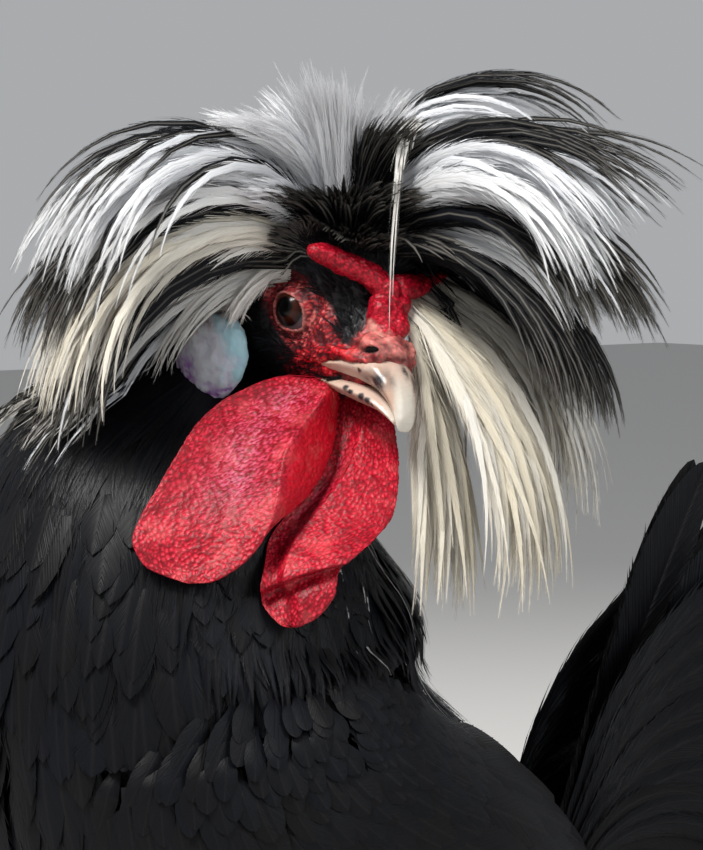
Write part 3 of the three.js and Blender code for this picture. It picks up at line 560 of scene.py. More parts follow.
def ball(bm, centre, radii, around=32, rings=20):
    def shapeAt(share, turn):
        a, c, k = share * math.pi, np.cos(np.radians(turn)), np.sin(np.radians(turn))
        return np.stack([np.sin(a) * c, np.sin(a) * k, np.cos(a)], -1) * np.array(radii) + np.array(centre)

    return sphereBody(bm, around, rings, shapeAt)


def tubePoint(points, sizes, s, turn, lift=0.0, upward=(0, 1, 0)):
    n = len(points) - 1
    s, turn = np.broadcast_arrays(np.asarray(s, float), np.asarray(turn, float))
    ahead = unit(along(points, np.minimum(s + 0.3, n)) - along(points, np.maximum(s - 0.3, 0)))
    across = unit(np.cross(ahead, upward))
    up = np.cross(across, ahead)
    size = along(sizes, s)
    c, k = np.cos(np.radians(turn)), np.sin(np.radians(turn))
    out = unit(across * (c / size[..., 0])[..., None] + up * (k / size[..., 1])[..., None])
    place = along(points, s) + across * (size[..., 0] * c)[..., None] + up * (size[..., 1] * k)[..., None]
    return place + out * np.asarray(lift, float)[..., None], out


def tube(bm, points, sizes, around=32, rings=40, upward=(0, 0, 1), round=0.06, liftAt=None):
    def shapeAt(share, turn):
        s = share * (len(points) - 1)
        lift = np.zeros(len(s)) if liftAt is None else liftAt(share, turn)
        place, _ = tubePoint(points, sizes, s, turn, lift, upward)
        ends = np.sqrt(np.clip(1 - (1 - np.minimum(share, 1 - share) / round).clip(0) ** 2, 0, 1))
        return along(points, s) + (place - along(points, s)) * ends[:, None]

    return sphereBody(bm, around, rings, shapeAt)


def applied(piece):
    depsgraph = bpy.context.evaluated_depsgraph_get()
    mesh = bpy.data.meshes.new_from_object(piece.evaluated_get(depsgraph))
    old = piece.data
    piece.modifiers.clear()
    piece.data = mesh
    bpy.data.meshes.remove(old)
    return piece


# Blends the closed bodies of one bmesh into one surface
def blended(name, bm, voxel, smoothing=3):
    bmesh.ops.recalc_face_normals(bm, faces=bm.faces)
    piece = meshObject(name, bm)
    blend = piece.modifiers.new("blend", "REMESH")
    blend.mode = "VOXEL"
    blend.voxel_size = voxel
    smoother = piece.modifiers.new("smooth", "SMOOTH")
    smoother.iterations = smoothing
    return applied(piece)


def united(piece, others):
    for k, other in enumerate(others):
        union = piece.modifiers.new(f"union{k}", "BOOLEAN")
        union.operation = "UNION"
        union.solver = "MANIFOLD"
        union.object = other
    applied(piece)
    for other in others:
        bpy.data.objects.remove(other)
    return piece


def pointsOf(piece):
    co = np.empty(len(piece.data.vertices) * 3, np.float32)
    piece.data.vertices.foreach_get("co", co)
    return co.reshape(-1, 3).astype(float)


def normalsOf(piece):
    normals = np.empty(len(piece.data.vertices) * 3, np.float32)
    piece.data.vertex_normals.foreach_get("vector", normals)
    return normals.reshape(-1, 3).astype(float)


def setPoints(piece, co):
    piece.data.vertices.foreach_set("co", co.astype(np.float32).ravel())
    piece.data.update()


def setValues(piece, label, values):
    layer = piece.data.attributes.new(label, "FLOAT", "POINT")
    layer.data.foreach_set("value", values.astype(np.float32))


def setMask(piece, label, values):
    setValues(piece, label, np.clip(values, 0, 1))


# Noise at many points: soft hills, and the net of grooves between pebbles
def hills(points, size, depth=3):
    return np.array([noise.fractal(Vector(p) / size, 0.7, 2.1, depth) for p in points])


def pebbles(points, size):
    near = [noise.voronoi(Vector(p) / size)[0] for p in points]
    return np.array([min((d[1] - d[0]) * 2.2, 1) for d in near])


def finish(piece, look, nodes=()):
    piece.data.materials.clear()
    piece.data.materials.append(look)
    piece.data.shade_smooth()
    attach(piece, "root")
    if nodes:
        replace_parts(piece, *nodes)
    print(f"{piece.name}: {len(piece.data.polygons)} faces")
    return piece


# Flesh: bare red skin. Masks on its points say how deep a groove is, and how pale, dark or violet a place is.
# The grooves between the pebbles get painted shade, the pebble tops a painted highlight
def makeSkinGroup():
    group, given, out = newGroup("skinGrain", [
        ("Where", "NodeSocketVector", None), ("Blotch Scale", "NodeSocketFloat", 70.0),
        ("Grain Scale", "NodeSocketFloat", 900.0), ("Cell Scale", "NodeSocketFloat", 720.0),
        ("Cell Height", "NodeSocketFloat", 1.2)],
        [("Blotch", "NodeSocketFloat"), ("Grain", "NodeSocketFloat"), ("Height", "NodeSocketFloat")])
    where = given.outputs["Where"]
    blotch = addNode(group, "ShaderNodeTexNoise", {"Vector": where, "Scale": given.outputs["Blotch Scale"]},
                     Detail=5.0)
    grain = addNode(group, "ShaderNodeTexNoise", {"Vector": where, "Scale": given.outputs["Grain Scale"]},
                    Detail=4.0)
    cells = addNode(group, "ShaderNodeTexVoronoi", {"Vector": where, "Scale": given.outputs["Cell Scale"]})
    high = math2(group, "MULTIPLY", cells.outputs["Distance"], given.outputs["Cell Height"])
    group.links.new(blotch.outputs[0], out.inputs["Blotch"])
    group.links.new(grain.outputs[0], out.inputs["Grain"])
    group.links.new(math2(group, "ADD", high, grain.outputs[0]), out.inputs["Height"])
    return group


skinGroup = makeSkinGroup()


def fleshMaterial(name, values):
    made, tree, shader = newMaterial(name)
    where = addNode(tree, "ShaderNodeTexCoord")
    ridge, pale, dark, violet, red = masksOf(tree, "ridge", "pale", "dark", "violet", "red")
    skinNode = addNode(tree, "ShaderNodeGroup", node_tree=skinGroup)
    tree.links.new(where.outputs["Object"], skinNode.inputs["Where"])
    for label, key in (("Blotch Scale", "blotchScale"), ("Grain Scale", "grainScale"),
                       ("Cell Scale", "cellScale"),
                       ("Cell Height", "cellHeight")):
        skinNode.inputs[label].default_value = values[key]
    blotch, grain, height = (skinNode.outputs[label] for label in ("Blotch", "Grain", "Height"))
    colour = mixColour(tree, blotch, values["deep"], values["bright"])
    colour = mixColour(tree, red, colour, values["red"])
    # painted shade: the groove colour darkens the grooves between the pebbles
    grooveShade = math2(tree, "MULTIPLY", math2(tree, "SUBTRACT", 0.62, ridge), 2, True)
    # painted highlight: the high colour lightens the pebble tops where the ridge mask is high
    above = math2(tree, "SUBTRACT", ridge, 0.66)
    crest = math2(tree, "MULTIPLY", above, math2(tree, "MULTIPLY", blotch, 7), True)
    colour = mixColour(tree, math2(tree, "MULTIPLY", grooveShade, values["grooveShadeShare"]), colour, values["grooveShade"])
    colour = mixColour(tree, math2(tree, "MULTIPLY", crest, values["paintedHighlightShare"]), colour, values["high"])
    colour = mixColour(tree, pale, colour, values["pale"])
    colour = mixColour(tree, violet, colour, values["violet"])
    colour = mixColour(tree, dark, colour, values["dark"])
    bump = addNode(tree, "ShaderNodeBump", {"Height": height}, Strength=values["bump"], Distance=0.0004)
    rough = math2(tree, "ADD", values["rough"], math2(tree, "MULTIPLY", grain, 0.25))
    tree.links.new(colour, shader.inputs["Base Color"])
    tree.links.new(rough, shader.inputs["Roughness"])
    tree.links.new(bump.outputs[0], shader.inputs["Normal"])
    shader.inputs["Specular IOR Level"].default_value = values["specular"]
    shader.inputs["Subsurface Weight"].default_value = values["through"]
    shader.inputs["Subsurface Radius"].default_value = (1, 0.25, 0.15)
    shader.inputs["Subsurface Scale"].default_value = 0.0015
    return made


# The groove colour of each flesh look, the earlobe's too, is painted shade in the grooves and hollows
fleshColours = {
    "deep": (0.34, 0.002, 0.014, 1), "bright": (0.58, 0.004, 0.024, 1), "high": (0.74, 0.06, 0.1, 1),
    "grooveShade": (0.13, 0.0, 0.004, 1), "grooveShadeShare": 0.85, "red": (0.5, 0.0, 0.01, 1),
    "pale": (0.78, 0.36, 0.3, 1), "violet": (0.4, 0.16, 0.3, 1), "dark": (0.02, 0.008, 0.009, 1),
    "blotchScale": 70.0, "grainScale": 900.0, "cellScale": 720.0, "cellHeight": 1.2, "bump": 0.4,
    "paintedHighlightShare": 0.42, "rough": 0.34, "specular": 0.3, "through": 0.05,
}
# The high colour of each flesh look, the earlobe's too, is a painted highlight on the pebble tops and folds
combLook = fleshMaterial("combFlesh", {**fleshColours, "paintedHighlightShare": 0.16})
wattleLook = fleshMaterial("wattleFlesh", fleshColours)
faceLook = fleshMaterial("faceFlesh", {
    **fleshColours, "deep": (0.24, 0.008, 0.014, 1), "bright": (0.48, 0.018, 0.028, 1),
    "high": (0.6, 0.09, 0.09, 1),
    "grooveShade": (0.06, 0.004, 0.006, 1), "dark": (0.006, 0.005, 0.007, 1), "blotchScale": 160.0,
    "through": 0.08,
    "rough": 0.34, "bump": 0.4})
lobeLook = fleshMaterial("earlobeSkin", {
    **fleshColours, "deep": (0.8, 0.84, 0.93, 1), "bright": (0.93, 0.94, 0.97, 1),
    "high": (0.92, 0.92, 0.94, 1),
    "grooveShade": (0.66, 0.64, 0.78, 1), "grooveShadeShare": 0.3, "pale": (0.36, 0.7, 0.78, 1),
    "violet": (0.42, 0.14, 0.56, 1),
    "dark": (0.34, 0.1, 0.07, 1), "blotchScale": 120.0, "rough": 0.34, "bump": 0.15, "paintedHighlightShare": 0.3})


def makeStreakGroup():
    group, given, out = newGroup("hornStreaks", [
        ("Where", "NodeSocketVector", None), ("Stretch", "NodeSocketVector", (1, 1, 3)),
        ("Scale", "NodeSocketFloat", 90.0)],
        [("Streak", "NodeSocketFloat")])
    stretched = addNode(group, "ShaderNodeVectorMath",
                        {0: given.outputs["Where"], 1: given.outputs["Stretch"]},
                        operation="MULTIPLY")
    streak = addNode(group, "ShaderNodeTexNoise",
                     {"Vector": stretched.outputs[0], "Scale": given.outputs["Scale"]},
                     Detail=5.0)
    group.links.new(streak.outputs[0], out.inputs["Streak"])
    return group


streakGroup = makeStreakGroup()


def hornMaterial(name, values):
    made, tree, shader = newMaterial(name)
    where = addNode(tree, "ShaderNodeTexCoord")
    base, tip, speck = masksOf(tree, "base", "tip", "speck")
    streakNode = addNode(tree, "ShaderNodeGroup", node_tree=streakGroup)
    tree.links.new(where.outputs["Object"], streakNode.inputs["Where"])
    streakNode.inputs["Stretch"].default_value = values["streaks"]
    streakNode.inputs["Scale"].default_value = values["streakScale"]
    streak = streakNode.outputs["Streak"]
    colour = mixColour(tree, streak, values["light"], values["mid"])
    # the beak's darker root and the leg's dark joints, and painted shade on the beak's sides and under the lower
    # beak
    colour = mixColour(tree, base, colour, values["base"])
    colour = mixColour(tree, tip, colour, values["tip"])
    colour = mixColour(tree, speck, colour, values["speck"])
    bump = addNode(tree, "ShaderNodeBump", {"Height": streak}, Strength=values["bump"], Distance=0.0003)
    tree.links.new(colour, shader.inputs["Base Color"])
    tree.links.new(math2(tree, "ADD", values["rough"], math2(tree, "MULTIPLY", streak, 0.12)),
                   shader.inputs["Roughness"])
    tree.links.new(bump.outputs[0], shader.inputs["Normal"])
    shader.inputs["Subsurface Weight"].default_value = 0.12
    shader.inputs["Subsurface Radius"].default_value = (1, 0.7, 0.5)
    shader.inputs["Subsurface Scale"].default_value = 0.001
    return made


# The darker colour stands for the beak's root and the leg's dark joints, and is painted shade on the beak's
# sides and underside
hornColours = {
    "light": (0.62, 0.48, 0.4, 1), "mid": (0.46, 0.31, 0.24, 1), "base": (0.36, 0.2, 0.12, 1),
    "tip": (0.6, 0.55, 0.47, 1), "speck": (0.03, 0.027, 0.03, 1), "streaks": (1, 1, 3), "streakScale": 90.0,
    "bump": 0.15, "rough": 0.22,
}
beakLook = hornMaterial("beakHorn", hornColours)
clawLook = hornMaterial("clawHorn", {
    **hornColours, "light": (0.3, 0.28, 0.26, 1), "mid": (0.12, 0.12, 0.125, 1),
    "base": (0.09, 0.1, 0.115, 1),
    "tip": (0.55, 0.5, 0.43, 1), "rough": 0.3})
legLook = hornMaterial("legScales", {
    **hornColours, "light": (0.075, 0.09, 0.115, 1), "mid": (0.045, 0.055, 0.072, 1),
    "base": (0.02, 0.022, 0.028, 1),
    "tip": (0.16, 0.17, 0.18, 1), "rough": 0.38, "streakScale": 260.0, "bump": 0.3})


def eyeMaterial(values):
    made, tree, shader = newMaterial("eye")
    ring, rays = masksOf(tree, "ring", "rays")
    colour = ramp(tree, ring, values["rings"])
    spokes = addNode(tree, "ShaderNodeTexNoise", Scale=9.0, Detail=4.0)
    polar = addNode(tree, "ShaderNodeCombineXYZ", {0: rays, 1: math2(tree, "MULTIPLY", ring, 0.3)})
    tree.links.new(polar.outputs[0], spokes.inputs["Vector"])
    spoke = math2(tree, "MULTIPLY", spokes.outputs[0], 0.5)
    colour = mixColour(tree, spoke, colour, values["spoke"], "MULTIPLY")
    tree.links.new(colour, shader.inputs["Base Color"])
    shader.inputs["Roughness"].default_value = 0.3
    shader.inputs["Specular IOR Level"].default_value = 0.1
    shader.inputs["Coat Weight"].default_value = 0.4
    shader.inputs["Coat Roughness"].default_value = 0.02
    shader.inputs["Coat IOR"].default_value = 1.38
    return made


eye = {
    "centre": (-3.0, 10.2, 3.3), "radius": 7.8, "turn": 12, "opening": 4.7, "lower": 1.2,
    "rings": [  # share of 8 mm from the middle of the eye, colour
        (0.0, (0.0005, 0.0005, 0.0005, 1)), (0.33, (0.0005, 0.0005, 0.0005, 1)),
        (0.36, (0.03, 0.007, 0.003, 1)),
        (0.43, (0.045, 0.01, 0.003, 1)), (0.52, (0.03, 0.004, 0.002, 1)), (0.6, (0.012, 0.003, 0.002, 1)),
        (0.65, (0.005, 0.003, 0.003, 1)), (0.7, (0.1, 0.085, 0.095, 1)), (0.9, (0.2, 0.16, 0.17, 1)),
    ],
    "spoke": (0.35, 0.25, 0.2, 1),
}
eyeLook = eyeMaterial(eye)


def eyeAxis(side):
    turn = math.radians(eye["turn"])
    return np.array([math.sin(turn), side * math.cos(turn), 0])


def eyeCentre(side):
    return np.array(eye["centre"]) * (1, side, 1)


# An eyeball: its own sphere's axis looks out of the head, with the cornea standing a little proud
def makeEye(side, node):
    bm = bmesh.new()
    axis = eyeAxis(side)
    ahead = unit(np.cross(axis, (0, 0, 1)))
    rings = {}

    def shapeAt(share, turn):
        a = share * math.pi
        r = eye["radius"] * np.sin(a)
        high = eye["radius"] * np.cos(a) + 0.55 * smooth(4.6, 2.0, r) * (a < 1.5)
        rings["ring"] = np.where(a < 1.5, r / 8, 1)
        rings["rays"] = np.cos(np.radians(turn)) * 2.2 + np.sin(np.radians(turn)) * 1.3
        c, k = np.cos(np.radians(turn))[:, None], np.sin(np.radians(turn))[:, None]
        outward = ahead * c + np.array([0, 0, 1]) * k
        return fromHead(eyeCentre(side) + axis * high[:, None] + outward * r[:, None])

    sphereBody(bm, 48, 56, shapeAt)
    bmesh.ops.recalc_face_normals(bm, faces=bm.faces)
    piece = meshObject(f"eyeball{node.title()}", bm)
    setPoints(piece, toFrame(pointsOf(piece)))
    for label, values in rings.items():
        setValues(piece, label, values)
    return finish(piece, eyeLook, [f"eye_{node}"])


for side, node in sides:
    makeEye(side, node)
print("eyes made")

# Skin. One skin stands for head, neck, trunk and thighs: inside the plumage by the coat's depth,
# bare on the face
bird = {}  # what later pieces need of earlier ones
skull = {
    "rows": [  # along, half width, top, bottom
        (-33, 5, 5, -8), (-30, 12, 12, -15), (-24, 16, 18, -19), (-14, 17.5, 22, -20), (-4, 16.8, 23, -19),
        (4, 15, 20.5, -18), (11, 12.4, 17, -17), (17, 10, 13, -14.5), (23, 8.2, 9, -11), (28.5, 6.2, 5.6, -8),
        (31, 3, 2.6, -4),
    ],
    # the cere and the nostrils' bulges
    "rims": [((27.2, 0, 2.2), (5.2, 6.2, 5.4)), ((25.5, 4.6, 1.6), (6.4, 4.2, 4.6))],
    "gape": ([(4, 10.5, -8.6), (10, 10.9, -5.6), (17, 10.4, -2.8), (24, 9, -1.4), (29, 7.4, -1.2)],
             [(1.8, 2.0), (2.0, 2.2), (1.8, 2.0), (1.4, 1.6), (0.8, 0.8)]),
    "hole": ((28.6, 8.0, 1.9), (2.6, 2.6, 1.15)),
    "knob": ((0, 3, 17), (19, 17, 19)),
    "coat": 6,  # how deep the skin lies under the plumage
}
thigh = {
    "points": [(36, 0, 226), (37, 6, 198), (37, 13, 170), (36, 21, 143), (35, 28, 121), (34.5, 32, 104)],
    "sizes": [(24, 34), (25, 33), (21, 26), (15, 18), (10, 11.5), (7.5, 8)],
    "coat": 3.5,
    "hem": ([(34.3, 30.4, 93), (34.1, 28, 84)], [(6.9, 7.6), (6.4, 7)]),  # the feathers reach over the hock
}


def mirrored(points, side):
    return [(x * side, y, z) for x, y, z in points]


def headBody(bm):
    rows = np.array(skull["rows"])

    def shapeAt(share, turn):
        row = along(rows, share * (len(rows) - 1))
        middle, tall = (row[:, 2] + row[:, 3]) / 2, (row[:, 2] - row[:, 3]) / 2
        ends = np.sqrt(np.clip(1 - (1 - np.minimum(share, 1 - share) / 0.05).clip(0) ** 2, 0, 1))
        c, k = np.cos(np.radians(turn)), np.sin(np.radians(turn))
        return np.stack([row[:, 0], row[:, 1] * c * ends, middle + tall * k * ends], -1)

    sphereBody(bm, 72, 64, shapeAt)
    for place, radii in skull["rims"]:
        for side in ((1, -1) if place[1] else (1,)):
            ball(bm, (place[0], place[1] * side, place[2]), radii)
    for side in (1, -1):
        points, sizes = skull["gape"]
        tube(bm, [(x, y * side, z) for x, y, z in points], sizes, 24, 40, round=0.12)
    place, radii = skull["knob"]
    ball(bm, headTurn.T @ hangTurn @ np.array(place), radii, 48, 32)


# Lids: the skin comes up round each eye, with rings of wrinkles outside them
def shapeLids(co, side):
    axis, centre = eyeAxis(side), eyeCentre(side)
    rel = co - centre
    high = rel @ axis
    flat = rel - high[:, None] * axis
    r = np.linalg.norm(flat, axis=1)
    flat = flat + np.array([0, 0, eye["lower"]])  # the lids open a little under the middle of the eye
    fromLids = np.linalg.norm(flat, axis=1)
    turn = np.arctan2(flat[:, 2], flat @ unit(np.cross(axis, (0, 0, 1))) * side)
    corner = np.exp(-((turn + 0.5) / 0.4) ** 2) + 0.5 * np.exp(-((np.abs(turn) - 2.9) / 0.4) ** 2)
    # longer than high, with a corner before and behind
    opening = eye["opening"] + 1.0 * np.cos(turn) ** 2 + 0.6 * corner
    near = (high > 0) & (r < 15)
    onBall = np.sqrt(np.clip((eye["radius"] + 0.45) ** 2 - np.minimum(r, 7.4) ** 2, 0, None))
    onBall = onBall - (r - 7.4).clip(0) * 0.75
    inside = np.sqrt(np.clip((eye["radius"] - 0.9) ** 2 - np.minimum(r, 6.6) ** 2, 0, None))
    rim = onBall + 0.3 * np.exp(-((fromLids - opening - 0.35) / 0.35) ** 2)
    edge = inside + (rim - inside) * smooth(opening - 0.3, opening, fromLids)
    wanted = np.where(fromLids < opening, edge, rim)
    share = smooth(12.5, 6.6, r)
    moved = high + (wanted - high) * share
    folds = np.sin((fromLids - opening) * 4.2 + 1.5 * np.sin(turn * 4) + 0.8 * np.sin(turn * 9))
    moved += 0.22 * folds * smooth(0.9, 1.6, fromLids - opening) * smooth(13, 9, r)
    co = np.where(near[:, None], co + axis * (moved - high)[:, None], co)
    return co, np.where(near, fromLids - opening, 99)


def makeHead():
    bm = bmesh.new()
    headBody(bm)
    piece = blended("headSkin", bm, 0.55, 3)
    co = pointsOf(piece)
    normals = normalsOf(piece)
    masks = {}
    rim = np.full(len(co), 99.0)
    for side in (1, -1):
        co, offRim = shapeLids(co, side)
        rim = np.minimum(rim, offRim)
        place, radii = (np.array(v) for v in skull["hole"])
        rel = (co - place * (1, side, 1)) @ spin(-24, "Y")
        hole = np.linalg.norm(rel / radii, axis=1)
        push = smooth(1.3, 0.6, hole)[:, None] * (np.array([-1.2, -side * 2.0, 0.3]))
        co = co + push
        # painted shade: the nostril's opening is painted dark
        masks["hole"] = np.maximum(masks.get("hole", 0), smooth(1.1, 0.75, hole))
    x, y, z = co.T
    away = np.abs(y)
    # the bare red patch round the eye, the fleshy lip over the mouth's corner, and the cere
    fromEye = np.hypot((x - 0.8) / np.where(x > 0.8, 17, 15), (z - 2.6 + 0.22 * x) / 9.6)
    patch = smooth(1.08, 0.94, fromEye) * smooth(8, 10, away)
    lip = smooth(1.15, 0.9, np.hypot((x - 16) / 14.5, (z + 5.4 - 0.4 * (x - 16)) / 4.6)) * smooth(5, 7, away)
    cere = smooth(19.5, 22, x + np.clip(z - 6, 0, 9) * 0.2)
    bare = np.maximum(np.maximum(patch, lip), cere)
    under = smooth(-7, -9, z) * smooth(-8, 2, x)
    calm = smooth(0.15, 1.4, rim)
    rough = pebbles(co * (1, 1, 1.6), 1.5)
    fold = hills(co * (1, 1, 1.5), 4.2, 4)
    depth = (rough - 0.6) * 0.2 + fold * (0.35 + 0.25 * lip)
    co = co + normals * (depth * calm * np.maximum(bare, under))[:, None]
    masks["ridge"] = np.clip(rough * 0.9 + fold * 0.8, 0, 1) * np.maximum(bare, under)
    masks["red"] = np.maximum(lip, under * 0.7)
    pinkness = np.exp(-(((x - 27.5) / 5.5) ** 2 + (y / 8) ** 2 + ((z - 2.6) / 4.5) ** 2))
    lidEdge = 0.5 * np.exp(-(((rim - 0.35) / 0.25) ** 2))
    pebbled = 0.36 * patch * smooth(0.3, 0.9, rough) * smooth(0.0, 0.4, fold + 0.2 * smooth(6, 2, rim))
    masks["pale"] = np.clip(0.95 * pinkness * (0.75 + fold), 0, 1) + lidEdge + pebbled
    hair = hills(co, 1.6, 2)
    # the dark mask holds the feathered skin's black and the nostrils' painted shade
    masks["dark"] = np.maximum(masks.pop("hole"), 1 - np.maximum(bare, under * smooth(0.2, 0.0, hair)))
    masks["dark"] = np.maximum(masks["dark"], 0.55 * patch * smooth(0.45, 0.2, rough) * smooth(1.0, 2.4, rim))
    masks["violet"] = 0 * x
    bird["headSkin"] = (co, normals, bare, patch, rim)
    setPoints(piece, toFrame(fromHead(co)))
    for label, values in masks.items():
        setMask(piece, label, values)
    return piece


def bodyBody():
    bm = bmesh.new()
    coat = skull["coat"]
    sphereBody(bm, 64, 130, lambda share, turn: bodyPoint(
        0.35 + share * (stations - 0.5), turn, -coat * smooth(0, 0.02, np.minimum(share, 1 - share)))[0])
    bmesh.ops.recalc_face_normals(bm, faces=bm.faces)
    piece = meshObject("trunkSkin", bm)
    setPoints(piece, toFrame(pointsOf(piece)))
    return piece


def thighBody(side):
    bm = bmesh.new()
    tube(bm, mirrored(thigh["points"], side), np.array(thigh["sizes"]) - thigh["coat"], 32, 40, (0, 1, 0))
    bmesh.ops.recalc_face_normals(bm, faces=bm.faces)
    piece = meshObject("thighSkin", bm)
    setPoints(piece, toFrame(pointsOf(piece)))
    return piece


skin = makeHead()
for other in [bodyBody(), thighBody(1), thighBody(-1)]:
    for label, value in (("ridge", 0.0), ("pale", 0.0), ("dark", 1.0), ("violet", 0.0), ("red", 0.0)):
        setMask(other, label, np.full(len(other.data.vertices), value))
    united(skin, [other])
skin.name = "skin"
finish(skin, faceLook, ["head", "neck", "torso", "thigh_left", "thigh_right"])
print("skin made")

# Beak
beak = {
    "upper": [  # along, half width, top, bottom
        (8, 8.6, -7, -9.9), (12.5, 10.4, -5, -9.8), (17, 10.6, -3, -9), (21, 10.1, -1.2, -8.2),
        (26, 8.8, 0.4, -7.7),
        (31, 7.4, 0.9, -7.8),
        (35, 6.2, -0.9, -8.7), (38.5, 5.0, -3.8, -10.2), (41.3, 3.9, -7.2, -12.2), (43.2, 3.1, -10.6, -14.4),
        (44, 2.2, -13, -15.4),
    ],
    "lower": [(11, 8.8, -9.6, -14.4), (20, 8.6, -8.2, -14), (27, 6.9, -7.8, -13.5), (33, 5.3, -8.6, -13.2),
              (38, 3.8, -10.3, -13.7), (41.6, 2.2, -12.6, -14.6)],
    "specks": [  # along, across, up and size
        (27.6, -8.2, -4.3, 0.75), (29.0, -7.8, -5.2, 0.55), (25.4, -8.6, -3.9, 0.4), (30.6, -7.2, -5.6, 0.35),
        (23.4, -7.6, -10.4, 1.0), (25.2, -7.2, -10.9, 0.8), (29.3, -6.3, -10.9, 1.2),
        (31.6, -5.7, -11.4, 1.2),
        (33.4, -5.0, -12.0, 0.9), (20.4, -8.0, -9.4, 0.4), (31.5, -4.6, -13.0, 0.5), (26, 8.4, -4.6, 0.7),
        (30, 6.2, -10.8, 1.1),
    ],
}


def makeBeak(name, rows, node, upper):
    bm = bmesh.new()
    rows = np.array(rows)

    def shapeAt(share, turn):
        row = along(rows, share * (len(rows) - 1))
        middle, tall = (row[:, 2] + row[:, 3]) / 2, (row[:, 2] - row[:, 3]) / 2
        c, k = np.cos(np.radians(turn)), np.sin(np.radians(turn))
        ends = np.sqrt(np.clip(1 - (1 - np.minimum(share, 1 - share) / 0.04).clip(0) ** 2, 0, 1))
        flat = 0.62 if upper else 0.8
        # the side at the mouth is flatter
        under = np.where((k < 0) == upper, np.abs(k) ** 1.6 * np.sign(k), k)
        ridge = 1 - 0.28 * np.clip(k if upper else -k, 0, 1) ** 2
        wide = np.sign(c) * np.abs(c) ** flat * ridge
        return np.stack([row[:, 0], row[:, 1] * wide * ends, middle + tall * under * ends], -1)

    sphereBody(bm, 72, 80, shapeAt)
    bmesh.ops.recalc_face_normals(bm, faces=bm.faces)
    piece = meshObject(name, bm)
    co = pointsOf(piece)
    x = co[:, 0]
    uneven = hills(co, 3.0, 3)
    speck = np.zeros(len(co))
    for *place, size in beak["specks"]:
        off = np.linalg.norm(co - np.array(place), axis=1)
        speck = np.maximum(speck, smooth(size * 1.25, size * 0.6, off + uneven * 0.5))
    patch = np.exp(-(((x - 33.6 - 0.5 * (co[:, 2] + 5)) / 4.4) ** 2 + ((co[:, 2] + 5) / 3.6) ** 2))
    patch = patch * smooth(1.6, 4, np.abs(co[:, 1])) * upper
    streak = np.exp(-(((x - 35.2) / 2.6) ** 2 + ((co[:, 1] - 1.4) / 1.0) ** 2))
    streak = streak * smooth(-4, -2, co[:, 2]) * upper
    setMask(piece, "speck", np.maximum(speck, np.maximum(patch, 0.9 * streak) * (0.9 + uneven)))
    # painted shade: the upper beak's sides towards the tip and the lower beak's underside take the darker colour
    if upper:
        shaded = 0.5 * smooth(2.2, 4.5, np.abs(co[:, 1])) * smooth(24, 30, x) * smooth(0.2, -0.1, uneven)
    else:
        shaded = 0.5 * smooth(-11, -13.5, co[:, 2])
    setMask(piece, "base", np.maximum(smooth(22, 12, x + uneven * 3) * 0.6, shaded))
    setMask(piece, "tip", smooth(33, 42, x) * smooth(4.5, 2.5, np.abs(co[:, 1])))
    grain = hills(co * (0.5, 1, 1), 2.2, 3) * 0.08
    setPoints(piece, toFrame(fromHead(co + normalsOf(piece) * grain[:, None])))
    return finish(piece, beakLook, [node])


makeBeak("beakUpper", beak["upper"], "beak_upper", True)
makeBeak("beakLower", beak["lower"], "beak_lower", False)
print("beak made")

# Comb: a stem over the nostrils with a horn to each side
comb = {
    "stem": ([(25, 0, 3), (22, 0, 9), (19.6, 0, 13.6), (17.4, 0, 17)],
             [(6.6, 4.4), (6.3, 4.3), (5.6, 4.2), (4.6, 4.2)]),
    "right": ([(18, -1, 17.6), (14.6, -6, 19.9), (12, -12, 21), (10.6, -18, 21.9), (10.4, -24.5, 22.8)],
              [(4.2, 3.6), (4.1, 3.5), (4.0, 3.4), (3.5, 3.0), (2.3, 2.2)]),
    "left": ([(18, 1, 17.6), (16, 7, 18.6), (13.6, 13, 19.6), (10.4, 19.5, 21.4), (7.8, 25.5, 23.2)],
             [(4.2, 3.9), (4.0, 3.6), (3.2, 2.9), (2.0, 1.8), (0.8, 0.7)]),
    "bumps": [((25.2, -1.6, 6.5), 3.4), ((24.2, 2.4, 9), 3.4), ((21.6, -3.4, 12.5), 3.2),
              ((20.4, 3.2, 14.4), 3.2),
              ((19.2, -1, 17.2), 3.6), ((14.2, -9, 21.4), 2.6), ((12, -15, 22.4), 2.4)],
    "pebble": 1.05,
    "relief": 0.2,
}


def fleshPiece(piece, place, pebble, relief, foldSize, foldDepth, stretch=(1, 1, 1)):
    co = pointsOf(piece)
    rough = pebbles(co * stretch, pebble)
    fold = hills(co * stretch, foldSize, 4)
    co = co + normalsOf(piece) * ((rough - 0.6) * relief + fold * foldDepth)[:, None]
    setMask(piece, "ridge", rough * 0.95 + fold * 0.2)
    setPoints(piece, toFrame(place(co)))
    return co, rough, fold


def makeComb(values):
    bm = bmesh.new()
    tube(bm, *values["stem"], 32, 24, (1, 0, 0), 0.3)
    tube(bm, *values["right"], 32, 40, round=0.1)
    tube(bm, *values["left"], 32, 40, round=0.1)
    for place, radius in values["bumps"]:
        ball(bm, place, (radius,) * 3, 20, 14)
    piece = blended("combFlesh", bm, 0.42, 3)
    co, _, fold = fleshPiece(piece, fromHead, values["pebble"], values["relief"], 5, 0.4)
    setMask(piece, "pale", 0.85 * smooth(9, 4.5, co[:, 2] + fold * 3))
    for label in ("red", "dark", "violet"):
        setMask(piece, label, 0 * fold)
    return finish(piece, combLook, ["comb"])


makeComb(comb)

